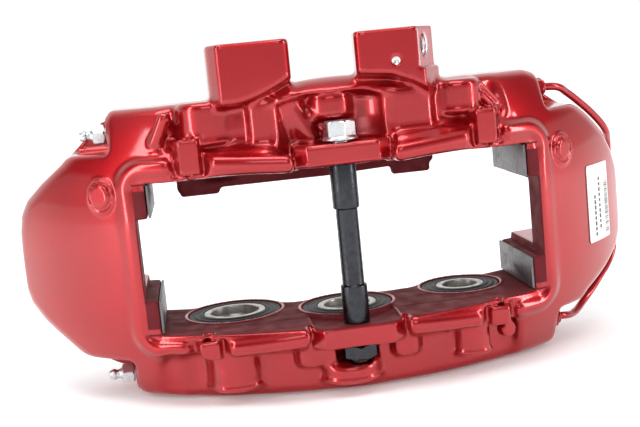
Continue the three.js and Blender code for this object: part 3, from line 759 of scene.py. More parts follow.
def rightLug(x, y, z):
    x0, y0 = inlet["corner"]
    out = (x - x0) * inletOut[0] + (y - y0) * inletOut[1]
    behind = y - lugs["front"]
    farSide = x - (x0 + inletAlong[0] * inlet["run"])
    soft = allOf(lugs["soft"], -behind, (lugs["right"] - lugs["half"]) - x + behind * lugs["rightTaper"])
    low = np.interp(x, lugs["rightLowX"], lugs["rightLowZ"]) - underside(y)
    corner, back, step = lugs["rightCorner"], y - lugs["back"], inlet["step"]
    upper = allOf(corner, soft, out, farSide, back, np.maximum(z - lugs["top"], low - z))
    lower = allOf(corner, soft, out - step, farSide - step, back, np.maximum(z - inlet["low"], low - z))
    return np.minimum(upper, lower)


upper = {
    "humpMiddle": (2, 23, 80), "humpHalf": (54, 22, 14.5), "humpZone": [(-65, 61), (0, 72), (65, 96)],
    "humpBlend": 5.0, "blockFront": 218.5, "blockZ": (50, 86.5), "blockX": (-50.5, 56), "blockBack": 40,
    "blockCorner": 4.5, "blockZone": [(-51, 56), (-6, 40), (50, 87)], "blockBlend": 3.0,
}
# soft ridges: start, end, radius, blend
headRidge = ((-26, 12, 84), (-15.5, 11.5, 62), 4.4, 7.0)
sideRidges = [((-96.5, 15.5, 80), (-103, 19.5, 67), 4.0, 2.0), ((86, 14.5, 81), (96, 17.5, 70), 2.4, 1.5),
              ((86, 12.5, 75), (94.5, 15.5, 66), 2.2, 1.5)]


def lugHump(x, y, z):
    # the cast dome that runs up behind the bosses and between the lugs
    parts = [((u - middle) / half) ** 2 for u, middle, half in zip((x, y, z), upper["humpMiddle"], upper["humpHalf"])]
    return (np.sqrt(parts[0] + parts[2] + parts[1]) - 1) * upper["humpHalf"][2]


def upperBlock(x, y, z):
    # between the bosses the wall stands upright almost to the top
    return allOf(upper["blockCorner"], fromAxle(x, y) - upper["blockFront"], between(z, *upper["blockZ"]),
                 between(x, *upper["blockX"]), y - upper["blockBack"])


def inletBore(x, y, z):
    x0, y0 = inlet["corner"]
    out = (x - x0) * inletOut[0] + (y - y0) * inletOut[1]
    along = (x - x0) * inletAlong[0] + (y - y0) * inletAlong[1]
    reach = np.hypot(along - inlet["inset"], z - inlet["z"])
    bore = np.maximum(reach - inlet["boreRadius"], -inlet["depth"] - out)
    countersink = np.maximum(reach - inlet["boreRadius"] - inlet["chamfer"] - out, -inlet["chamferDepth"] - out)
    return np.minimum(bore, countersink)


pistonNodes = [f"{half}_piston_{size}" for half in ("inboard", "outboard") for size in ("large", "medium", "small")]


def pistonFacts(node):
    low, high = localBox(node)
    side = 1 if low[2] > 0 else -1
    near, far = sorted((abs(low[2]), abs(high[2])))
    return {"side": side, "x": (low[0] + high[0]) / 2, "y": (low[1] + high[1]) / 2,
            "radius": (high[1] - low[1]) / 2, "near": near, "far": far}


pistons = {node: pistonFacts(node) for node in pistonNodes}
housing = {
    "wall": 4.4, "span": (44, 84), "blend": 5.0, "bore": 0.5, "boreSpan": (30, 77.4), "groove": 3.5,
    "grooveSpan": (57.7, 62.1), "bootGap": 0.3, "bootSpan": (30, 48.3), "collar": 2.4, "collarSpan": (42.9, 50),
}


def castOuter(made):
    made.join(outerForm, body["reach"], 0.01)
    for side in (1, -1):
        made.carve(panels(side), [*panel["zone"], sorted(side * z for z in panel["span"])], panel["blend"])
    for fact in pistons.values():
        start, end = [(fact["x"], fact["y"], fact["side"] * z) for z in housing["span"]]
        made.join(*rod(start, end, fact["radius"] + boot["width"] + housing["wall"]), housing["blend"])
    made.join(upperBlock, upper["blockZone"], upper["blockBlend"])
    made.join(lugHump, upper["humpZone"], upper["humpBlend"])
    made.join(leftLug, lugs["leftZone"], lugs["blend"])
    made.join(rightLug, lugs["rightZone"], lugs["blend"])
    made.carve(*hollow("head"), 6.0)
    made.join(*rod(*bossSize["midFoot"]), 3.0)
    made.join(boss(1, *bossSize["mid"])[0], bossSize["midZone"], bossSize["midBlend"])
    made.join(*capsule(*headRidge[:3]), headRidge[3])
    castBosses(made)
    for side in (1, -1):
        zone = sorted(side * z for z in frameRing["hollowSpan"])
        made.carve(railValley, [(-110, 110), (-20, 30), zone], frameRing["valleyBlend"])
        made.carve(earHollow, [(-32, 32), (-20, 12), zone], frameRing["valleyBlend"])
    made.join(ringAround, frameRing["zone"], frameRing["blend"])
    for side in (1, -1):
        for end in (1, -1):
            made.join(*pinBlock(side, end), blocks["blend"])
        made.join(*earShape(side), ear["blend"])
    for *mark, blend in marks:
        made.join(*pad(*mark), blend)
    for start, end, radius, blend in sideRidges:
        made.join(*capsule(start, end, radius), blend)


def castBosses(made):
    size = bossSize
    for side, group in bosses.items():
        for x0, radius, low, high in group:
            made.join(*boss(side, x0, radius, low, high, size["front"]), size["blend"])
            lip = (low if side > 0 else high) + size["lipTop"][side]
            made.join(*boss(side, x0, radius + size["lipOut"], lip - size["lipHeight"], lip, size["lipFront"]),
                      size["lipBlend"])
        if side < 0:
            made.carve(*hollow("nut"), 3.0)
    for x0, radius in size["lowPair"]:
        made.join(*boss(-1, x0, radius, *size["lowSpan"], size["lowFront"]), size["blend"])


# bleed screw and pipe seats: X, Y, Z and bore radius
seats = {"bleed": (-131.0, 52.0, 73.0, 4.6), "pipe": (131.0, 62.0, 74.0, 4.9), "boss": 9.0, "bossLength": 29.0,
         "pocket": 62.0, "pocketY": (34, 90), "corner": 3.0, "boreIn": 12.0, "boreOut": 3.0, "furthest": 215.0,
         "zone": (30, 95), "span": (58, 100)}
valley = {"depth": 214.5, "x": (-114, -88), "z": (-84, -58), "corner": 8.0, "zone": [(-120, -84), (-5, 60), (-88, -54)]}


def castPockets(made):
    for side in (1, -1):
        for name in ("bleed", "pipe"):
            x0, y0, z0, _ = seats[name]
            end = math.copysign(1, x0)

            def pocket(x, y, z, end=end, x0=x0, side=side):
                return allOf(seats["corner"], end * (x0 - x), seats["pocket"] - side * z,
                             between(y, *seats["pocketY"]))
            box = [sorted((x0, end * seats["furthest"])), seats["zone"], sorted(side * z for z in seats["span"])]
            made.carve(pocket, box, seats["corner"])
            made.join(*rod((x0 - end * seats["bossLength"], y0, side * z0), (x0, y0, side * z0), seats["boss"]), 3.0)

    def softValley(x, y, z):
        return allOf(valley["corner"], valley["depth"] - fromAxle(x, y), between(x, *valley["x"]),
                     between(z, *valley["z"]))
    made.carve(softValley, valley["zone"], valley["corner"])


window = {
    "half": 119.0, "pillar": 112.0, "pillarTop": 24.0, "frameDepth": 17.0, "discSlot": 20.0, "discRadius": 209.5,
    "lip": 4.2, "lipFrom": 26.0, "lipOver": 46.0, "lipFront": -14.0, "lipDepth": 26.0, "earHalf": 25.0,
    "cornerRound": 5.0, "zone": [(-160, 160), (-20, 125), (-48, 50)], "blend": 1.3,
}


def cavity(x, y, z):
    wide, tall = np.abs(x), np.abs(z)
    face = tall - body["innerFace"]
    slot = np.maximum(fromAxle(x, y) - window["discRadius"], tall - window["discSlot"])
    # the upper wall's front lip rises away from the bolt
    rise = window["lip"] * np.clip((wide - window["lipFrom"]) / window["lipOver"], 0, 1)
    rise = rise * np.clip(1 - (y - window["lipFront"]) / window["lipDepth"], 0, 1)
    lip = np.maximum(np.maximum(wide - window["pillar"], z - body["innerFace"] - rise), -z)
    return anyOf(
        1.0, slot, np.maximum(wide - window["pillar"], face), lip,
        np.maximum(wide - window["half"], tall - window["pillarTop"]) + 0 * y,
        np.maximum(allOf(window["cornerRound"], wide - window["half"], face), y - window["frameDepth"]),
        np.maximum(np.maximum(wide - window["earHalf"], y - ear["back"]), tall - ear["innerZ"]))


inboardBack = {
    "x": (-95, 70), "y": (36, 90), "z": (44.2, 78), "ledgeY": (82, 90), "ledgeLow": 30.8, "ledgeRise": 0.04,
    "tabs": (-81, 55), "tabHalf": 12.5, "tabLow": 27, "corner": 2.0, "ledgeCorner": 1.6,
}


def openUp(made):
    made.carve(cavity, window["zone"], window["blend"])
    size = inboardBack
    top = size["z"][1]

    def solidBack(x, y, z):
        return allOf(size["corner"], between(x, *size["x"]), between(y, *size["y"]), between(z, *size["z"]))

    def ledge(x, y, z):
        low = size["ledgeLow"] + np.maximum(x, 0) * size["ledgeRise"]
        return allOf(size["ledgeCorner"], between(x, *size["x"]), between(y, *size["ledgeY"]), between(z, low, top))
    made.join(solidBack, [size["x"], size["y"], (44, top)], 2.0)
    made.join(ledge, [size["x"], (80, 92), (26, top)], 1.5)
    for middle in size["tabs"]:
        def tab(x, y, z, middle=middle):
            return allOf(size["corner"], between(x, middle - size["tabHalf"], middle + size["tabHalf"]),
                         between(y, *size["ledgeY"]), between(z, size["tabLow"], top))
        made.join(tab, [(middle - 13, middle + 13), (80, 92), (size["tabLow"], top)], 2.5)
    for fact in pistons.values():
        openHousing(made, fact)


def openHousing(made, fact):
    side, x0, y0, radius = fact["side"], fact["x"], fact["y"], fact["radius"]
    outer = radius + boot["width"]

    def collar(x, y, z):
        return allOf(0.9, np.hypot(x - x0, y - y0) - outer - housing["collar"],
                     between(side * z, *housing["collarSpan"]))

    def recess(x, y, z):
        reach, depth = np.hypot(x - x0, y - y0), side * z
        bore = np.maximum(reach - radius - housing["bore"], between(depth, *housing["boreSpan"]))
        groove = np.maximum(reach - radius - housing["groove"], between(depth, *housing["grooveSpan"]))
        seat = np.maximum(reach - outer - housing["bootGap"], between(depth, *housing["bootSpan"]))
        return np.minimum(np.minimum(bore, groove), seat)
    reach = outer + 3
    box = [(x0 - reach, x0 + reach), (y0 - reach, y0 + reach)]
    made.join(collar, [*box, sorted((side * 42, side * 50))], 0.6)
    made.carve(recess, [*box, sorted((side * 40, side * 78))], 0.5)


def drill(made):
    for side in (1, -1):
        for end in (1, -1):
            x0, y0, top = end * blocks["x"], blocks["holeY"], blocks["tops"][side] + 2
            made.carve(*rod((x0, y0, side * 43), (x0, y0, side * top), blocks["holeRadius"]), 0.6)
        made.carve(*rod((0, 0, side * 44), (0, 0, side * 60), ear["boreRadius"]), 0.6)
        made.carve(*rod((0, 0, side * ear["topZ"]), (0, 0, ear["seatTop"][side]), ear["seatRadius"]), 1.5)
        for name in ("bleed", "pipe"):
            x0, y0, z0, bore = seats[name]
            end = math.copysign(1, x0)
            start, stop = x0 - end * seats["boreIn"], x0 + end * seats["boreOut"]
            made.carve(*rod((start, y0, side * z0), (stop, y0, side * z0), bore), 0.6)
    wellTop, wellFloor, wellRadius = ear["nutWell"]
    made.carve(*rod((0, 0, wellTop), (0, 0, wellFloor), wellRadius), 0.5)
    for x0 in (lugs["left"], lugs["right"]):
        start, stop = [(x0, y, lugs["boltZ"]) for y in (lugs["back"] - lugs["boltDepth"], lugs["past"])]
        made.carve(*rod(start, stop, lugs["boltRadius"]), 0.8)
    start, stop = [(lugs["spotX"], y, lugs["spotZ"]) for y in lugs["spotY"]]
    made.carve(*rod(start, stop, lugs["spot"]), 0.4)
    made.carve(inletBore, [(40, 66), (-12, 24), (98, 118)], 0.4)


def netOf(made):
    # one corner in each cell that the surface crosses, joined across the edges that it crosses
    value, step = made.value, made.step
    inside = value < 0
    shape = np.array(value.shape)
    count = sum(inside[i:shape[0] - 1 + i, j:shape[1] - 1 + j, k:shape[2] - 1 + k].astype(np.int8)
                for i in (0, 1) for j in (0, 1) for k in (0, 1))
    cells = np.argwhere((count > 0) & (count < 8))
    index = np.full(shape - 1, -1, np.int64)
    index[tuple(cells.T)] = np.arange(len(cells))
    total, hits = np.zeros((len(cells), 3)), np.zeros(len(cells))
    for axis in range(3):
        for a in (0, 1):
            for b in (0, 1):
                start = np.insert(np.array([a, b]), axis, 0)
                stop = start.copy()
                stop[axis] = 1
                v0 = value[tuple((cells + start).T)]
                v1 = value[tuple((cells + stop).T)]
                crossed = (v0 < 0) != (v1 < 0)
                t = np.where(crossed, v0 / np.where(crossed, v0 - v1, 1), 0)
                total += crossed[:, None] * (start + t[:, None] * (stop - start))
                hits += crossed
    origin = np.array([axis[0] for axis in made.axes])
    points = origin + (cells + total / hits[:, None]) * step
    faces = []
    for axis in range(3):
        stop = np.eye(3, dtype=int)[axis]
        u, v = [np.eye(3, dtype=int)[i] for i in range(3) if i != axis]
        here = inside[tuple(slice(1, shape[i] - 1) for i in range(3))]
        there = inside[tuple(slice(1 + stop[i], shape[i] - 1 + stop[i]) for i in range(3))]
        edges = np.argwhere(here != there) + 1
        quads = np.stack([index[tuple((edges - a * u - b * v).T)] for a, b in ((0, 0), (1, 0), (1, 1), (0, 1))], 1)
        turned = inside[tuple(edges.T)] == (axis != 1)
        quads[turned] = quads[turned][:, ::-1]
        faces.append(quads)
    faces = np.concatenate(faces)
    return points, faces[(faces >= 0).all(1)]


def sampled(field, origin, step, points):
    grid = (points - origin) / step
    base = np.clip(np.floor(grid).astype(int), 0, np.array(field.shape) - 2)
    part = grid - base
    result = 0
    for i in (0, 1):
        for j in (0, 1):
            for k in (0, 1):
                weight = np.abs(1 - i - part[:, 0]) * np.abs(1 - j - part[:, 1]) * np.abs(1 - k - part[:, 2])
                result = result + weight * field[base[:, 0] + i, base[:, 1] + j, base[:, 2] + k]
    return result


def settled(made, points, faces, rounds=2):
    # evens out the net, then draws each point back onto the surface
    origin = np.array([axis[0] for axis in made.axes])
    step = made.step
    slopes = np.gradient(made.value, step)
    for _ in range(rounds):
        total, hits = np.zeros_like(points), np.zeros(len(points))
        for a, b in ((0, 1), (1, 2), (2, 3), (3, 0)):
            for here, there in ((faces[:, a], faces[:, b]), (faces[:, b], faces[:, a])):
                for axis in range(3):
                    total[:, axis] += np.bincount(here, points[there, axis], len(points))
                hits += np.bincount(here, minlength=len(points))
        points = points * 0.5 + total / hits[:, None] * 0.5
        for _ in range(2):
            value = sampled(made.value, origin, step, points)
            slope = np.stack([sampled(s, origin, step, points) for s in slopes], 1)
            size = np.maximum((slope ** 2).sum(1), 0.25)
            points = points - np.clip(value / size, -step / 2, step / 2)[:, None] * slope
    return points


def setNormals(mesh, smooth):
    # large triangles lie on flats and keep their own normal there
    count, loops = len(mesh.polygons), len(mesh.loops)
    area, sizes = np.empty(count), np.empty(count, int)
    flat, corner = np.empty(3 * count), np.empty(loops, int)
    mesh.polygons.foreach_get("area", area)
    mesh.polygons.foreach_get("loop_total", sizes)
    mesh.polygons.foreach_get("normal", flat)
    mesh.loops.foreach_get("vertex_index", corner)
    owner = np.repeat(np.arange(count), sizes)
    share = np.clip((area[owner] / mm ** 2 - body["flatFrom"]) / body["flatOver"], 0, 1)[:, None]
    blended = smooth[corner] * (1 - share) + flat.reshape(-1, 3)[owner] * share
    blended /= np.maximum(np.linalg.norm(blended, axis=1), 1e-6)[:, None]
    mesh.normals_split_custom_set(blended)


def quadMesh(points, faces):
    mesh = bpy.data.meshes.new("caliper")
    mesh.vertices.add(len(points))
    mesh.vertices.foreach_set("co", place(points).astype(np.float32).ravel())
    mesh.loops.add(faces.size)
    mesh.loops.foreach_set("vertex_index", faces.astype(np.int32).ravel())
    mesh.polygons.add(len(faces))
    mesh.polygons.foreach_set("loop_start", np.arange(0, faces.size, 4, dtype=np.int32))
    mesh.update(calc_edges=True)
    return mesh


def thinned(mesh, ratio):
    draft = bpy.data.objects.new("caliper draft", mesh)
    scene.collection.objects.link(draft)
    draft.modifiers.new("Thin", "DECIMATE").ratio = ratio
    evaluated = draft.evaluated_get(bpy.context.evaluated_depsgraph_get())
    result = bpy.data.meshes.new_from_object(evaluated)
    bpy.data.objects.remove(draft)
    return result


def makeBody():
    step = body["step"]
    made = Casting([low - body["margin"] for low, _ in body["reach"]],
                   [high + body["margin"] for _, high in body["reach"]], step)
    castOuter(made)
    castPockets(made)
    openUp(made)
    drill(made)
    print("casting's field made", made.value.shape)
    points, faces = netOf(made)
    points = settled(made, points, faces)
    mesh = quadMesh(points, faces)
    triangles = 2 * len(faces)
    print("casting's net has", triangles, "triangles")
    if triangles > body["mostTriangles"]:
        mesh = thinned(mesh, body["mostTriangles"] / triangles)
    piece = finishPiece("caliper_casting", mesh, casting, "caliper", ["caliper_body"], smooth=180)
    # the field's own slope gives the shading, so thinned flats stay even
    corners = np.empty(3 * len(piece.data.vertices), np.float32)
    piece.data.vertices.foreach_get("co", corners)
    corners = corners.reshape(-1, 3) / mm - datum
    origin = np.array([axis[0] for axis in made.axes])
    slope = np.stack([sampled(part, origin, step, corners) for part in np.gradient(made.value, step)], 1)
    slope /= np.maximum(np.linalg.norm(slope, axis=1), 1e-6)[:, None]
    setNormals(piece.data, slope)
    print("casting made")


makeBody()


# ---- pistons, boots and seals ----
piston = {
    "wall": 4.0, "floor": 5.0, "floorStep": 1.2, "floorShare": (0.35, 0.4), "relief": 0.6, "reliefSpan": (5.4, 7.0),
    "groove": 1.3, "grooveFrom": 3.0, "grooveWidth": 3.4, "steps": 72,
    "radii": [0, 0.5, 0.5, 2.5, 0.6, 0.5, 0.7, 0.7, 0.3, 0.3, 0.3, 0.3, 1.6, 0],
    "tone": (0.55, 0.53, 0.50), "stained": (0.20, 0.175, 0.15), "roughness": 0.3, "rings": 5.0, "stain": 0.5,
}
# across the boot from its outer rim (0) to the piston (1), and the height over the inner face
boot.update({
    "top": [(0.0, -0.4), (0.05, 0.0), (0.16, 0.15), (0.22, -0.35), (0.30, -0.35), (0.38, 0.3), (0.52, 0.55),
            (0.60, 0.1), (0.68, 0.1), (0.76, 0.75), (0.88, 1.05), (0.97, 1.0), (1.0, 0.8)],
    "under": [(1.0, -1.4), (0.6, -1.8), (0.3, -3.4), (0.0, -3.8)],
    "inner": 0.3, "round": 0.45, "proud": 0.75,
})


def makePiston(node, fact):
    near, far, radius = fact["near"], fact["far"], fact["radius"]
    inner = radius - piston["wall"]
    cup, step = far - piston["floor"], far - piston["floor"] - piston["floorStep"]
    first, second = [inner * share for share in piston["floorShare"]]
    wide = inner - piston["relief"]
    lipEnd, reliefEnd = [near + height for height in piston["reliefSpan"]]
    groove, deep = near + piston["grooveFrom"], radius - piston["groove"]
    corners = [
        (0, cup), (first, cup), (second, step), (wide, step), (wide, reliefEnd), (inner, lipEnd), (inner, near),
        (radius, near), (radius, groove), (deep, groove), (deep, groove + piston["grooveWidth"]),
        (radius, groove + piston["grooveWidth"]), (radius, far), (0, far),
    ]
    profile = [(r, fact["side"] * h) for r, h in roundedProfile(corners, piston["radii"], 3)]
    points, faces = turnedMesh(profile, piston["steps"])
    center = (fact["x"], fact["y"], 0)
    finish = newMaterial(node + " steel", turnedSteel(
        center, 2, piston["tone"], piston["stained"], piston["roughness"], piston["rings"], piston["stain"]))
    addPiece(node + "_turned", points + np.array(center), faces, finish, node, [node])


def makeBoot(node, fact):
    side, face = fact["side"], body["innerFace"]
    outer = fact["radius"] + boot["width"]
    width = outer - fact["radius"] - boot["inner"]
    corners = [(outer - t * width, face - h) for t, h in boot["top"] + boot["under"]]
    profile = roundedProfile([*corners, corners[0]], boot["round"], 2)
    profile[-1] = profile[0]
    profile = [(r, side * h) for r, h in profile]
    points, faces = turnedMesh(profile, piston["steps"])
    center = np.array((fact["x"], fact["y"], 0))
    piece = addPiece(node + "_moulded", points + center, faces, rubber, None, smooth=50)
    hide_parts(node)
    start = place(center + (0, 0, side * face))
    end = place(center + (0, 0, side * (face - boot["proud"])))
    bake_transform(piece)


def reface(node, material):
    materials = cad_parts[node].data.materials
    materials.clear()
    materials.append(material)


for node, fact in pistons.items():
    makePiston(node, fact)
    makeBoot(node.replace("piston", "boot"), fact)
    reface(node.replace("piston", "seal"), rubber)
print("pistons and boots made")


# ---- bridge bolt, sleeve and nut ----
bolt = {
    "radius": 5.0, "flange": 10.3, "flangeHeight": 2.8, "flangeEdge": 0.8, "flangeTop": 8.9, "hexHeight": 8.5,
    "flats": 16.0, "hexTurn": 0.2, "corner": 9.24, "chamfer": 1.1, "chamferAt": 7.7, "dish": (5.2, 4.6),
    "dishDepth": 0.5, "pitch": 1.5, "depth": 0.55, "threadFrom": 1.5, "threadTo": 14.0,
}
sleeve = {"outer": 7.6, "waist": 6.3, "bore": 5.3, "upper": 25.0, "lower": 21.5, "shoulder": 0.7}
bridgeNut = {"bore": 5.3, "flats": 18.0, "corner": 10.4, "under": 8.4, "top": 9.2, "chamfers": (0.6, 1.3, 1.0)}


def makeBolt():
    low, high = localBox("bridge_bolt")
    foot, top = low[2], high[2]
    seat = top - bolt["hexHeight"] - bolt["flangeHeight"]
    wide, edge, shoulder = bolt["flange"], bolt["flangeEdge"], seat + bolt["flangeHeight"]
    head = roundedProfile([(0, seat), (wide - 0.6, seat), (wide, seat + edge), (wide - 0.4, seat + 1.7),
                           (bolt["flangeTop"], shoulder), (0, shoulder)], 0.4, 3)
    corner, dish, dished = bolt["corner"], bolt["dish"], top - bolt["dishDepth"]
    hexagon = roundedProfile([(0, shoulder - 0.6), (corner, shoulder - 0.6), (corner, top - bolt["chamfer"]),
                              (bolt["chamferAt"], top), (dish[0], top), (dish[1], dished), (0, dished)],
                             [0, 0, 0.2, 0.4, 0.3, 0.3, 0], 3)
    plain = bolt["radius"] - 0.05
    shank = [(0, foot), (bolt["radius"] - 0.9, foot), (bolt["radius"] - 0.1, foot + 0.9)]
    height = foot + bolt["threadFrom"]
    while height < foot + bolt["threadTo"]:
        shank += [(bolt["radius"] - bolt["depth"], height), (plain, height + bolt["pitch"] / 2)]
        height += bolt["pitch"]
    shank += [(plain, height + 0.5), (plain, seat + 0.4), (0, seat + 0.4)]
    hexCut = hexLimit(bolt["flats"], bolt["hexTurn"])
    points, faces = joinMeshes(turnedMesh(head, 64), turnedMesh(hexagon, 96, hexCut), turnedMesh(shank, 40))
    addPiece("bridge_bolt_turned", points, faces, boltFinish, "caliper", ["bridge_bolt"], 30)


def makeSleeve():
    low, high = localBox("bridge_sleeve")
    foot, top = low[2], high[2]
    outer, waist, bore, slope = sleeve["outer"], sleeve["waist"], sleeve["bore"], sleeve["shoulder"]
    upperEnd, lowerEnd = top - sleeve["upper"], foot + sleeve["lower"]
    corners = [(bore, foot), (outer, foot), (outer, lowerEnd), (waist, lowerEnd + slope),
               (waist, upperEnd - slope), (outer, upperEnd), (outer, top), (bore, top), (bore, foot)]
    points, faces = turnedMesh(roundedProfile(corners, 0.5, 3), 64)
    addPiece("bridge_sleeve_turned", points, faces, blackFinish, "caliper", ["bridge_sleeve"], 30)


def makeNut():
    low, high = localBox("bridge_nut")
    foot, top, bore, corner = low[2], high[2], bridgeNut["bore"], bridgeNut["corner"]
    lead, lower, higher = bridgeNut["chamfers"]
    corners = [(bore, foot + lead), (bore + 0.8, foot), (bridgeNut["under"], foot), (corner, foot + lower),
               (corner, top - higher), (bridgeNut["top"], top), (bore, top), (bore, foot + lead)]
    profile = roundedProfile(corners, 0.25, 2)
    profile[-1] = profile[0]
    points, faces = turnedMesh(profile, 96, hexLimit(bridgeNut["flats"]))
    addPiece("bridge_nut_cut", points, faces, blackFinish, "caliper", ["bridge_nut"], 30)


makeBolt()
makeSleeve()
makeNut()


# ---- crossover pipe: a tube swept along its route by Geometry Nodes ----
pipe = {
    "radius": 2.4, "sides": 20, "spacing": 1.5,
    "route": [(19, 65, 72.8), (26, 71, 69), (37, 78, 61), (49.5, 86, 50.5), (59.5, 95, 40), (65, 107, 30.5),
              (66.3, 111.5, 17), (66.3, 112.5, 0), (66.3, 112.5, -17), (65, 107, -31), (60.5, 99, -44),
              (47, 92, -60), (33, 83, -71), (21, 71, -75.5)],
}
nut = {"radius": 4.6, "flats": 11.0, "corner": 6.35, "hexTurn": 0.3, "height": 7.0, "collar": 4.4, "collarHeight": 2.0,
       "foot": -8.5, "bore": 2.7}


def newTree(name, sizes):
    tree = bpy.data.node_groups.new(name, "GeometryNodeTree")
    tree.interface.new_socket("Geometry", in_out="INPUT", socket_type="NodeSocketGeometry")
    tree.interface.new_socket("Geometry", in_out="OUTPUT", socket_type="NodeSocketGeometry")
    for label, (kind, value) in sizes.items():
        socket = tree.interface.new_socket(label, in_out="INPUT", socket_type=kind)
        if value is not None:
            socket.default_value = value
    graph = Graph(tree)
    return tree, graph, graph.add("NodeGroupInput"), graph.add("NodeGroupOutput")


def grown(source, tree, values):
    # runs a tree on an object and returns the result as a plain mesh
    modifier = source.modifiers.new("Grow", "NODES")
    modifier.node_group = tree
    for item in tree.interface.items_tree:
        if item.in_out == "INPUT" and item.name in values:
            modifier[item.identifier] = values[item.name]
    evaluated = source.evaluated_get(bpy.context.evaluated_depsgraph_get())
    mesh = bpy.data.meshes.new_from_object(evaluated)
    source.modifiers.remove(modifier)
    bpy.data.objects.remove(source)
    return mesh


def tubeTree(material):
    tree, graph, given, result = newTree("Tube along a route", {
        "Radius": ("NodeSocketFloat", 0.002), "Sides": ("NodeSocketInt", 16), "Spacing": ("NodeSocketFloat", 0.002)})
    evened = graph.add("GeometryNodeResampleCurve", {"mode": "LENGTH"}, Curve=given.outputs["Geometry"],
                       Length=given.outputs["Spacing"])
    circle = graph.add("GeometryNodeCurvePrimitiveCircle", None, Resolution=given.outputs["Sides"],
                       Radius=given.outputs["Radius"])
    swept = graph.add("GeometryNodeCurveToMesh", None, Curve=evened.outputs[0], **{
        "Profile Curve": circle.outputs[0], "Fill Caps": True})
    whole = graph.add("GeometryNodeRealizeInstances", None, swept.outputs[0])
    done = graph.add("GeometryNodeSetMaterial", None, whole.outputs[0], Material=material)
    graph.tree.links.new(done.outputs[0], result.inputs[0])
    return tree


def makePipe():
    x0, y0, z0, _ = seats["pipe"]
    tip = x0 + nut["height"] + nut["collarHeight"] + 1
    straight = (x0 - 11, x0, tip - 4, tip)
    route = [(x, y0, z0) for x in straight]
    route += [(x0 + past, y, z) for past, y, z in pipe["route"]]
    route += [(x, y0, -z0) for x in straight[::-1]]
    curve = bpy.data.curves.new("pipe route", "CURVE")
    curve.dimensions = "3D"
    curve.resolution_u = 12
    spline = curve.splines.new("BEZIER")
    spline.bezier_points.add(len(route) - 1)
    for point, position in zip(spline.bezier_points, place(route)):
        point.co = position
        point.handle_left_type = point.handle_right_type = "AUTO"
    source = bpy.data.objects.new("pipe route", curve)
    scene.collection.objects.link(source)
    mesh = grown(source, tubeTree(casting), {"Radius": pipe["radius"] * mm, "Sides": pipe["sides"],
                                             "Spacing": pipe["spacing"] * mm})
    finishPiece("crossover_pipe_bent", mesh, casting, "caliper", ["crossover_pipe"], 60)


def makeTubeNut(name, side):
    x0, y0, z0, _ = seats["pipe"]
    bore, top, corner, foot = nut["bore"], nut["height"], nut["corner"], nut["foot"]
    hexagon = roundedProfile([(bore, 0.3), (5.7, 0.3), (corner, 0.9), (corner, top - 0.6), (5.5, top), (bore, top),
                              (bore, 0.3)], [0, 0.2, 0.2, 0.2, 0.2, 0, 0], 2)
    wide, end = nut["collar"], top + nut["collarHeight"]
    collar = roundedProfile([(bore, top - 0.5), (wide, top - 0.5), (wide, end - 0.6), (wide - 0.7, end), (bore, end),
                             (bore, top - 0.5)], [0, 0, 0.4, 0.4, 0.2, 0], 2)
    thread = [(bore, foot), (nut["radius"] - 0.8, foot), (nut["radius"], foot + 0.9), (nut["radius"], 0.8),
              (bore, 0.8), (bore, foot)]
    hexCut = hexLimit(nut["flats"], nut["hexTurn"])
    mesh = joinMeshes(turnedMesh(hexagon, 72, hexCut), turnedMesh(collar, 40), turnedMesh(thread, 40))
    points, faces = laid(mesh, 1, (x0, y0, side * z0))
    addPiece(name + "_cut", points, faces, casting, "caliper", [name], 30)


makePipe()
makeTubeNut("pipe_nut_inboard", 1)
makeTubeNut("pipe_nut_outboard", -1)


# ---- bleed screws ----
bleed = {
    "radius": 4.3, "foot": -10.7, "threadFrom": -7.6, "pitch": 1.0, "threadDepth": 0.5,
    "flats": 11.0, "corner": 6.35, "hexTurn": 0.25, "hexFrom": 2.0, "hexHeight": 7.0,
    "shoulder": 4.2, "neck": 2.6, "tip": 3.3, "tipLength": 8.0, "bore": 1.1, "boreDepth": 3.0,
    "tone": (0.60, 0.61, 0.62), "stained": (0.33, 0.33, 0.32), "roughness": 0.3,
}


def makeBleedScrew(name, side):
    x0, y0, z0, _ = seats["bleed"]
    base, top = bleed["hexFrom"], bleed["hexFrom"] + bleed["hexHeight"]
    end, radius, corner = top + bleed["tipLength"], bleed["radius"], bleed["corner"]
    shank = [(0, bleed["foot"]), (1.5, bleed["foot"]), (radius - 0.4, bleed["threadFrom"] - 0.4)]
    height = bleed["threadFrom"]
    while height < base - 1.2:
        shank += [(radius, height), (radius - bleed["threadDepth"], height + bleed["pitch"] / 2)]
        height += bleed["pitch"]
    shank += [(radius - 0.2, base + 0.5), (0, base + 0.5)]
    hexagon = roundedProfile([(0, base), (5.5, base), (corner, base + 0.8), (corner, top - 0.8), (5.3, top), (0, top)],
                             [0, 0.2, 0.2, 0.2, 0.3, 0], 2)
    neck, tip, bore, floor = bleed["neck"], bleed["tip"], bleed["bore"], end - bleed["boreDepth"]
    nipple = roundedProfile([(0, top - 0.3), (bleed["shoulder"], top - 0.3), (neck + 0.2, top + 1.5),
                             (neck, end - 4.6), (tip, end - 3.4), (tip, end - 2.6), (tip - 1.0, end),
                             (bore, end), (bore, floor), (0, floor)],
                            [0, 0.5, 0.8, 0.5, 0.4, 0.4, 0.4, 0.2, 0.2, 0], 3)
    hexCut = hexLimit(bleed["flats"], bleed["hexTurn"])
    mesh = joinMeshes(turnedMesh(shank, 32), turnedMesh(hexagon, 72, hexCut), turnedMesh(nipple, 40))
    center = (x0, y0, side * z0)
    points, faces = laid(mesh, -1, center)
    finish = newMaterial(name + " zinc", turnedSteel(center, 0, bleed["tone"], bleed["stained"], bleed["roughness"]))
    addPiece(name + "_turned", points, faces, finish, name, [name], 30)


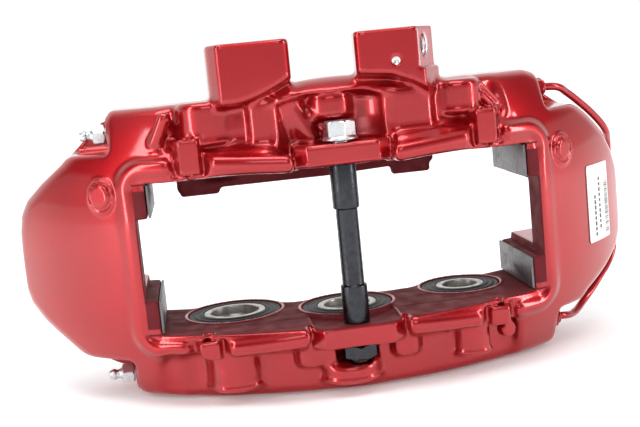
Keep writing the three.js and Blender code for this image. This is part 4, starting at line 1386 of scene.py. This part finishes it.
makeBleedScrew("bleed_screw_inboard", 1)
makeBleedScrew("bleed_screw_outboard", -1)
print("fittings made")


# ---- abutment plates and the finish of their screws ----
plate = {"bevel": 0.25, "segments": 2, "weld": 0.01, "flat": 1.0}


def makePlate(name):
    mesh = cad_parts[name].data.copy()
    draft = bpy.data.objects.new(name + " draft", mesh)
    scene.collection.objects.link(draft)
    work = bmesh.new()
    work.from_mesh(mesh)
    bmesh.ops.remove_doubles(work, verts=work.verts, dist=plate["weld"] * mm)
    bmesh.ops.dissolve_limit(work, angle_limit=math.radians(plate["flat"]), verts=work.verts, edges=work.edges)
    work.to_mesh(mesh)
    work.free()
    bevel = draft.modifiers.new("Edges", "BEVEL")
    bevel.width, bevel.segments, bevel.limit_method = plate["bevel"] * mm, plate["segments"], "ANGLE"
    finished = bpy.data.meshes.new_from_object(draft.evaluated_get(bpy.context.evaluated_depsgraph_get()))
    bpy.data.objects.remove(draft)
    finishPiece(name + "_ground", finished, plateFinish, "caliper", [name], 35)


for half in ("inboard", "outboard"):
    for end in ("left", "right"):
        makePlate(f"abutment_plate_{half}_{end}")
        reface(f"abutment_screw_{half}_{end}", dullFinish)
print("abutments made")


# ---- label: a film bent to the outer face, with printed bars grown by Geometry Nodes ----
label = {
    "width": 33.0, "height": 49.0, "thickness": 0.3, "lift": 0.3, "corner": 1.5, "across": 34, "seed": 7,
    "inkThickness": 0.06, "inkShare": 0.8,
}
# printed rows: middle across, width, start, pitch, count, thinnest share of the pitch
barRows = [(12.0, 6.0, -20.5, 1.28, 26, 0.25), (-6.5, 2.4, -20.0, 3.4, 8, 0.7), (0.5, 2.4, -16.0, 3.4, 10, 0.7)]


def bentLabel(points):
    # flat label coordinates (across, up, lift) onto the cylinder
    low, high = localBox("label")
    middle = math.atan2((low[0] + high[0]) / 2, body["axleY"] - (low[1] + high[1]) / 2)
    radius = body["outerRadius"] + label["lift"]
    points = np.asarray(points, float)
    angle = middle + points[:, 0] / radius
    reach = radius + points[:, 2]
    return np.stack([reach * np.sin(angle), body["axleY"] - reach * np.cos(angle),
                     points[:, 1] + (low[2] + high[2]) / 2], 1)


def makeLabel():
    halfX, halfY, top = label["width"] / 2, label["height"] / 2, label["thickness"]
    columns = np.linspace(-halfX, halfX, label["across"])
    points, faces = [], []
    for x in columns:
        cut = max(0.0, abs(x) - halfX + label["corner"])
        drop = label["corner"] - math.sqrt(max(label["corner"] ** 2 - cut ** 2, 0))
        end = halfY - drop
        points += [(x, -end, 0), (x, end, 0), (x, end, top), (x, -end, top)]
    for i in range(len(columns) - 1):
        for k in range(4):
            a, b = 4 * i + k, 4 * i + (k + 1) % 4
            faces.append((a, b, b + 4, a + 4))
    faces += [(0, 1, 2, 3), tuple(4 * (len(columns) - 1) + k for k in (3, 2, 1, 0))]
    addPiece("label_film", bentLabel(points), faces, filmFinish, "caliper", ["label"], 40)


def barTree(material):
    tree, graph, given, result = newTree("Printed bars", {
        "Count": ("NodeSocketInt", 20), "Pitch": ("NodeSocketFloat", 0.001), "Width": ("NodeSocketFloat", 0.005),
        "Thinnest": ("NodeSocketFloat", 0.3), "Seed": ("NodeSocketInt", 1)})
    pitch = graph.signal(given, "Pitch")
    step = graph.add("ShaderNodeCombineXYZ", None, 0.0, pitch, 0.0)
    line = graph.add("GeometryNodeMeshLine", None, Count=given.outputs["Count"], Offset=step.outputs[0])
    barSize = graph.add("ShaderNodeCombineXYZ", None, graph.signal(given, "Width"), pitch * label["inkShare"],
                        label["inkThickness"] * mm)
    bar = graph.add("GeometryNodeMeshCube", None, Size=barSize.outputs[0])
    random = graph.add("FunctionNodeRandomValue", {"data_type": "FLOAT"}, Seed=given.outputs["Seed"])
    tree.links.new(given.outputs["Thinnest"], random.inputs[2])
    random.inputs[3].default_value = 1.0
    size = graph.add("ShaderNodeCombineXYZ", None, 1.0, Signal(graph, random.outputs[1]), 1.0)
    placed = graph.add("GeometryNodeInstanceOnPoints", None, Points=line.outputs[0], Instance=bar.outputs[0],
                       Scale=size.outputs[0])
    whole = graph.add("GeometryNodeRealizeInstances", None, placed.outputs[0])
    done = graph.add("GeometryNodeSetMaterial", None, whole.outputs[0], Material=material)
    tree.links.new(done.outputs[0], result.inputs[0])
    return tree


def makeBars():
    tree = barTree(inkFinish)
    points, faces = [], []
    for i, (x, width, start, pitch, count, thinnest) in enumerate(barRows):
        source = bpy.data.objects.new("bars", bpy.data.meshes.new("bars"))
        scene.collection.objects.link(source)
        mesh = grown(source, tree, {"Count": count, "Pitch": pitch * mm, "Width": width * mm,
                                    "Thinnest": thinnest, "Seed": label["seed"] + i})
        offset = len(points)
        points += [(v.co.x / mm + x, v.co.y / mm + start, v.co.z / mm + label["thickness"])
                   for v in mesh.vertices]
        faces += [[k + offset for k in p.vertices] for p in mesh.polygons]
    addPiece("label_print", bentLabel(points), faces, inkFinish, "caliper", smooth=30)


makeLabel()
makeBars()
print("label made")


# ---- floor, light and camera ----
# the camera's angles in degrees, and its distance and target in millimetres from the bridge bolt
view = {"turn": -6.03, "lift": 8.01, "roll": 5.61, "distance": 621.13, "target": (-15.3, 0.0, 18.76), "lens": 61.8}
studio = {
    "front": 0.07, "back": 1.05, "top": 0.6, "low": 0.6, "backEdge": (0.0, 0.7), "topEdge": (0.45, 0.85),
    "lowEdge": (0.19, 0.27), "floorHalf": 8.0, "floorDrop": 0.0002, "floorGlow": 0.6, "nearShadedGlow": (0.3, 0.3, 0.3),
    "glowEdge": (180, 900),
}
# soft lamps, in metres from the part's own origin
lamps = {
    "front softbox": {"position": (-0.1, -1.5, 0.9), "size": (1.1, 0.5), "power": 5.0, "target": (0, 0, 0.05)},
    "left strip": {"position": (-1.02, -0.42, 0.38), "size": (0.2, 1.0), "power": 5.0},
    "right strip": {"position": (1.08, -0.38, 0.4), "size": (0.14, 0.9), "power": 4.5},
    "overhead": {"position": (-0.1, -0.2, 1.0), "size": (1.1, 0.4), "power": 6.5},
}


def paleFloor(graph, shader):
    point, (x, y, _) = graph.axes()
    soft = graph.noise(point, 0.01, 2.0)
    tone = graph.blendColors(soft, (0.93, 0.93, 0.935), (0.95, 0.95, 0.955))
    # the floor glows so it reads evenly white, but its glow is dimmer near the part: a painted shadow about the part
    away = (x * x + y * y).math("SQRT")
    glow = graph.blendColors(away.steps(*studio["glowEdge"]), studio["nearShadedGlow"], (1, 1, 1))
    setInputs(graph, shader, Base_Color=tone, Roughness=0.8, Specular_IOR_Level=0.15, Emission_Color=glow,
              Emission_Strength=studio["floorGlow"])


def makeFloor():
    half = studio["floorHalf"]
    corners = [(-half, -half, 0), (half, -half, 0), (half, half, 0), (-half, half, 0)]
    mesh = bpy.data.meshes.new("floor")
    mesh.from_pydata([(x, y, cadBox[0][2] - studio["floorDrop"]) for x, y, _ in corners], [], [(0, 1, 2, 3)])
    mesh.materials.append(newMaterial("pale floor", paleFloor))
    floor = bpy.data.objects.new("floor", mesh)
    scene.collection.objects.link(floor)


def makeWorld():
    world = bpy.data.worlds.new("studio")
    scene.world = world
    world.use_nodes = True
    world.node_tree.nodes.clear()
    graph = Graph(world.node_tree)
    way = graph.add("ShaderNodeSeparateXYZ", None, graph.add("ShaderNodeTexCoord").outputs["Generated"])
    behind = graph.signal(way, 1).steps(*studio["backEdge"])
    rise = graph.signal(way, 2)
    above = rise.steps(*studio["topEdge"]) * studio["top"]
    below = (1 - rise.steps(*studio["lowEdge"])) * studio["low"]
    brightest = behind.math("MAXIMUM", above.math("MAXIMUM", below))
    strength = brightest * (studio["back"] - studio["front"]) + studio["front"]
    background = graph.add("ShaderNodeBackground", None, Color=(1, 1, 1, 1), Strength=strength)
    graph.add("ShaderNodeOutputWorld", None, background.outputs[0])


def softLight(name, position, size, power, target=(0, 0, 0.1)):
    data = bpy.data.lights.new(name, "AREA")
    data.shape, data.size, data.size_y, data.energy = "RECTANGLE", size[0], size[1], power
    lamp = bpy.data.objects.new(name, data)
    lamp.location = position
    lamp.rotation_euler = (Vector(target) - Vector(position)).to_track_quat("-Z", "Y").to_euler()
    scene.collection.objects.link(lamp)


def makeCamera():
    turn, lift, roll = (math.radians(view[k]) for k in ("turn", "lift", "roll"))
    back = Vector((math.sin(turn) * math.cos(lift), -math.cos(turn) * math.cos(lift), math.sin(lift)))
    right = back.cross(Vector((0, 0, 1))) * -1
    right.normalize()
    up = right.cross(-back)
    tiltedRight = right * math.cos(roll) - up * math.sin(roll)
    tiltedUp = right * math.sin(roll) + up * math.cos(roll)
    data = bpy.data.cameras.new("camera")
    data.lens, data.sensor_width = view["lens"], 36.0
    camera = bpy.data.objects.new("camera", data)
    spot = place(np.array(view["target"]) + np.array(back) * view["distance"])
    rows = Matrix((tiltedRight, tiltedUp, back)).transposed().to_4x4()
    camera.matrix_world = Matrix.Translation(Vector(spot)) @ rows
    scene.collection.objects.link(camera)
    scene.camera = camera


scene.view_settings.view_transform = "Standard"
makeFloor()
makeWorld()
for name, lamp in lamps.items():
    softLight(name, **lamp)
makeCamera()
print("studio made")
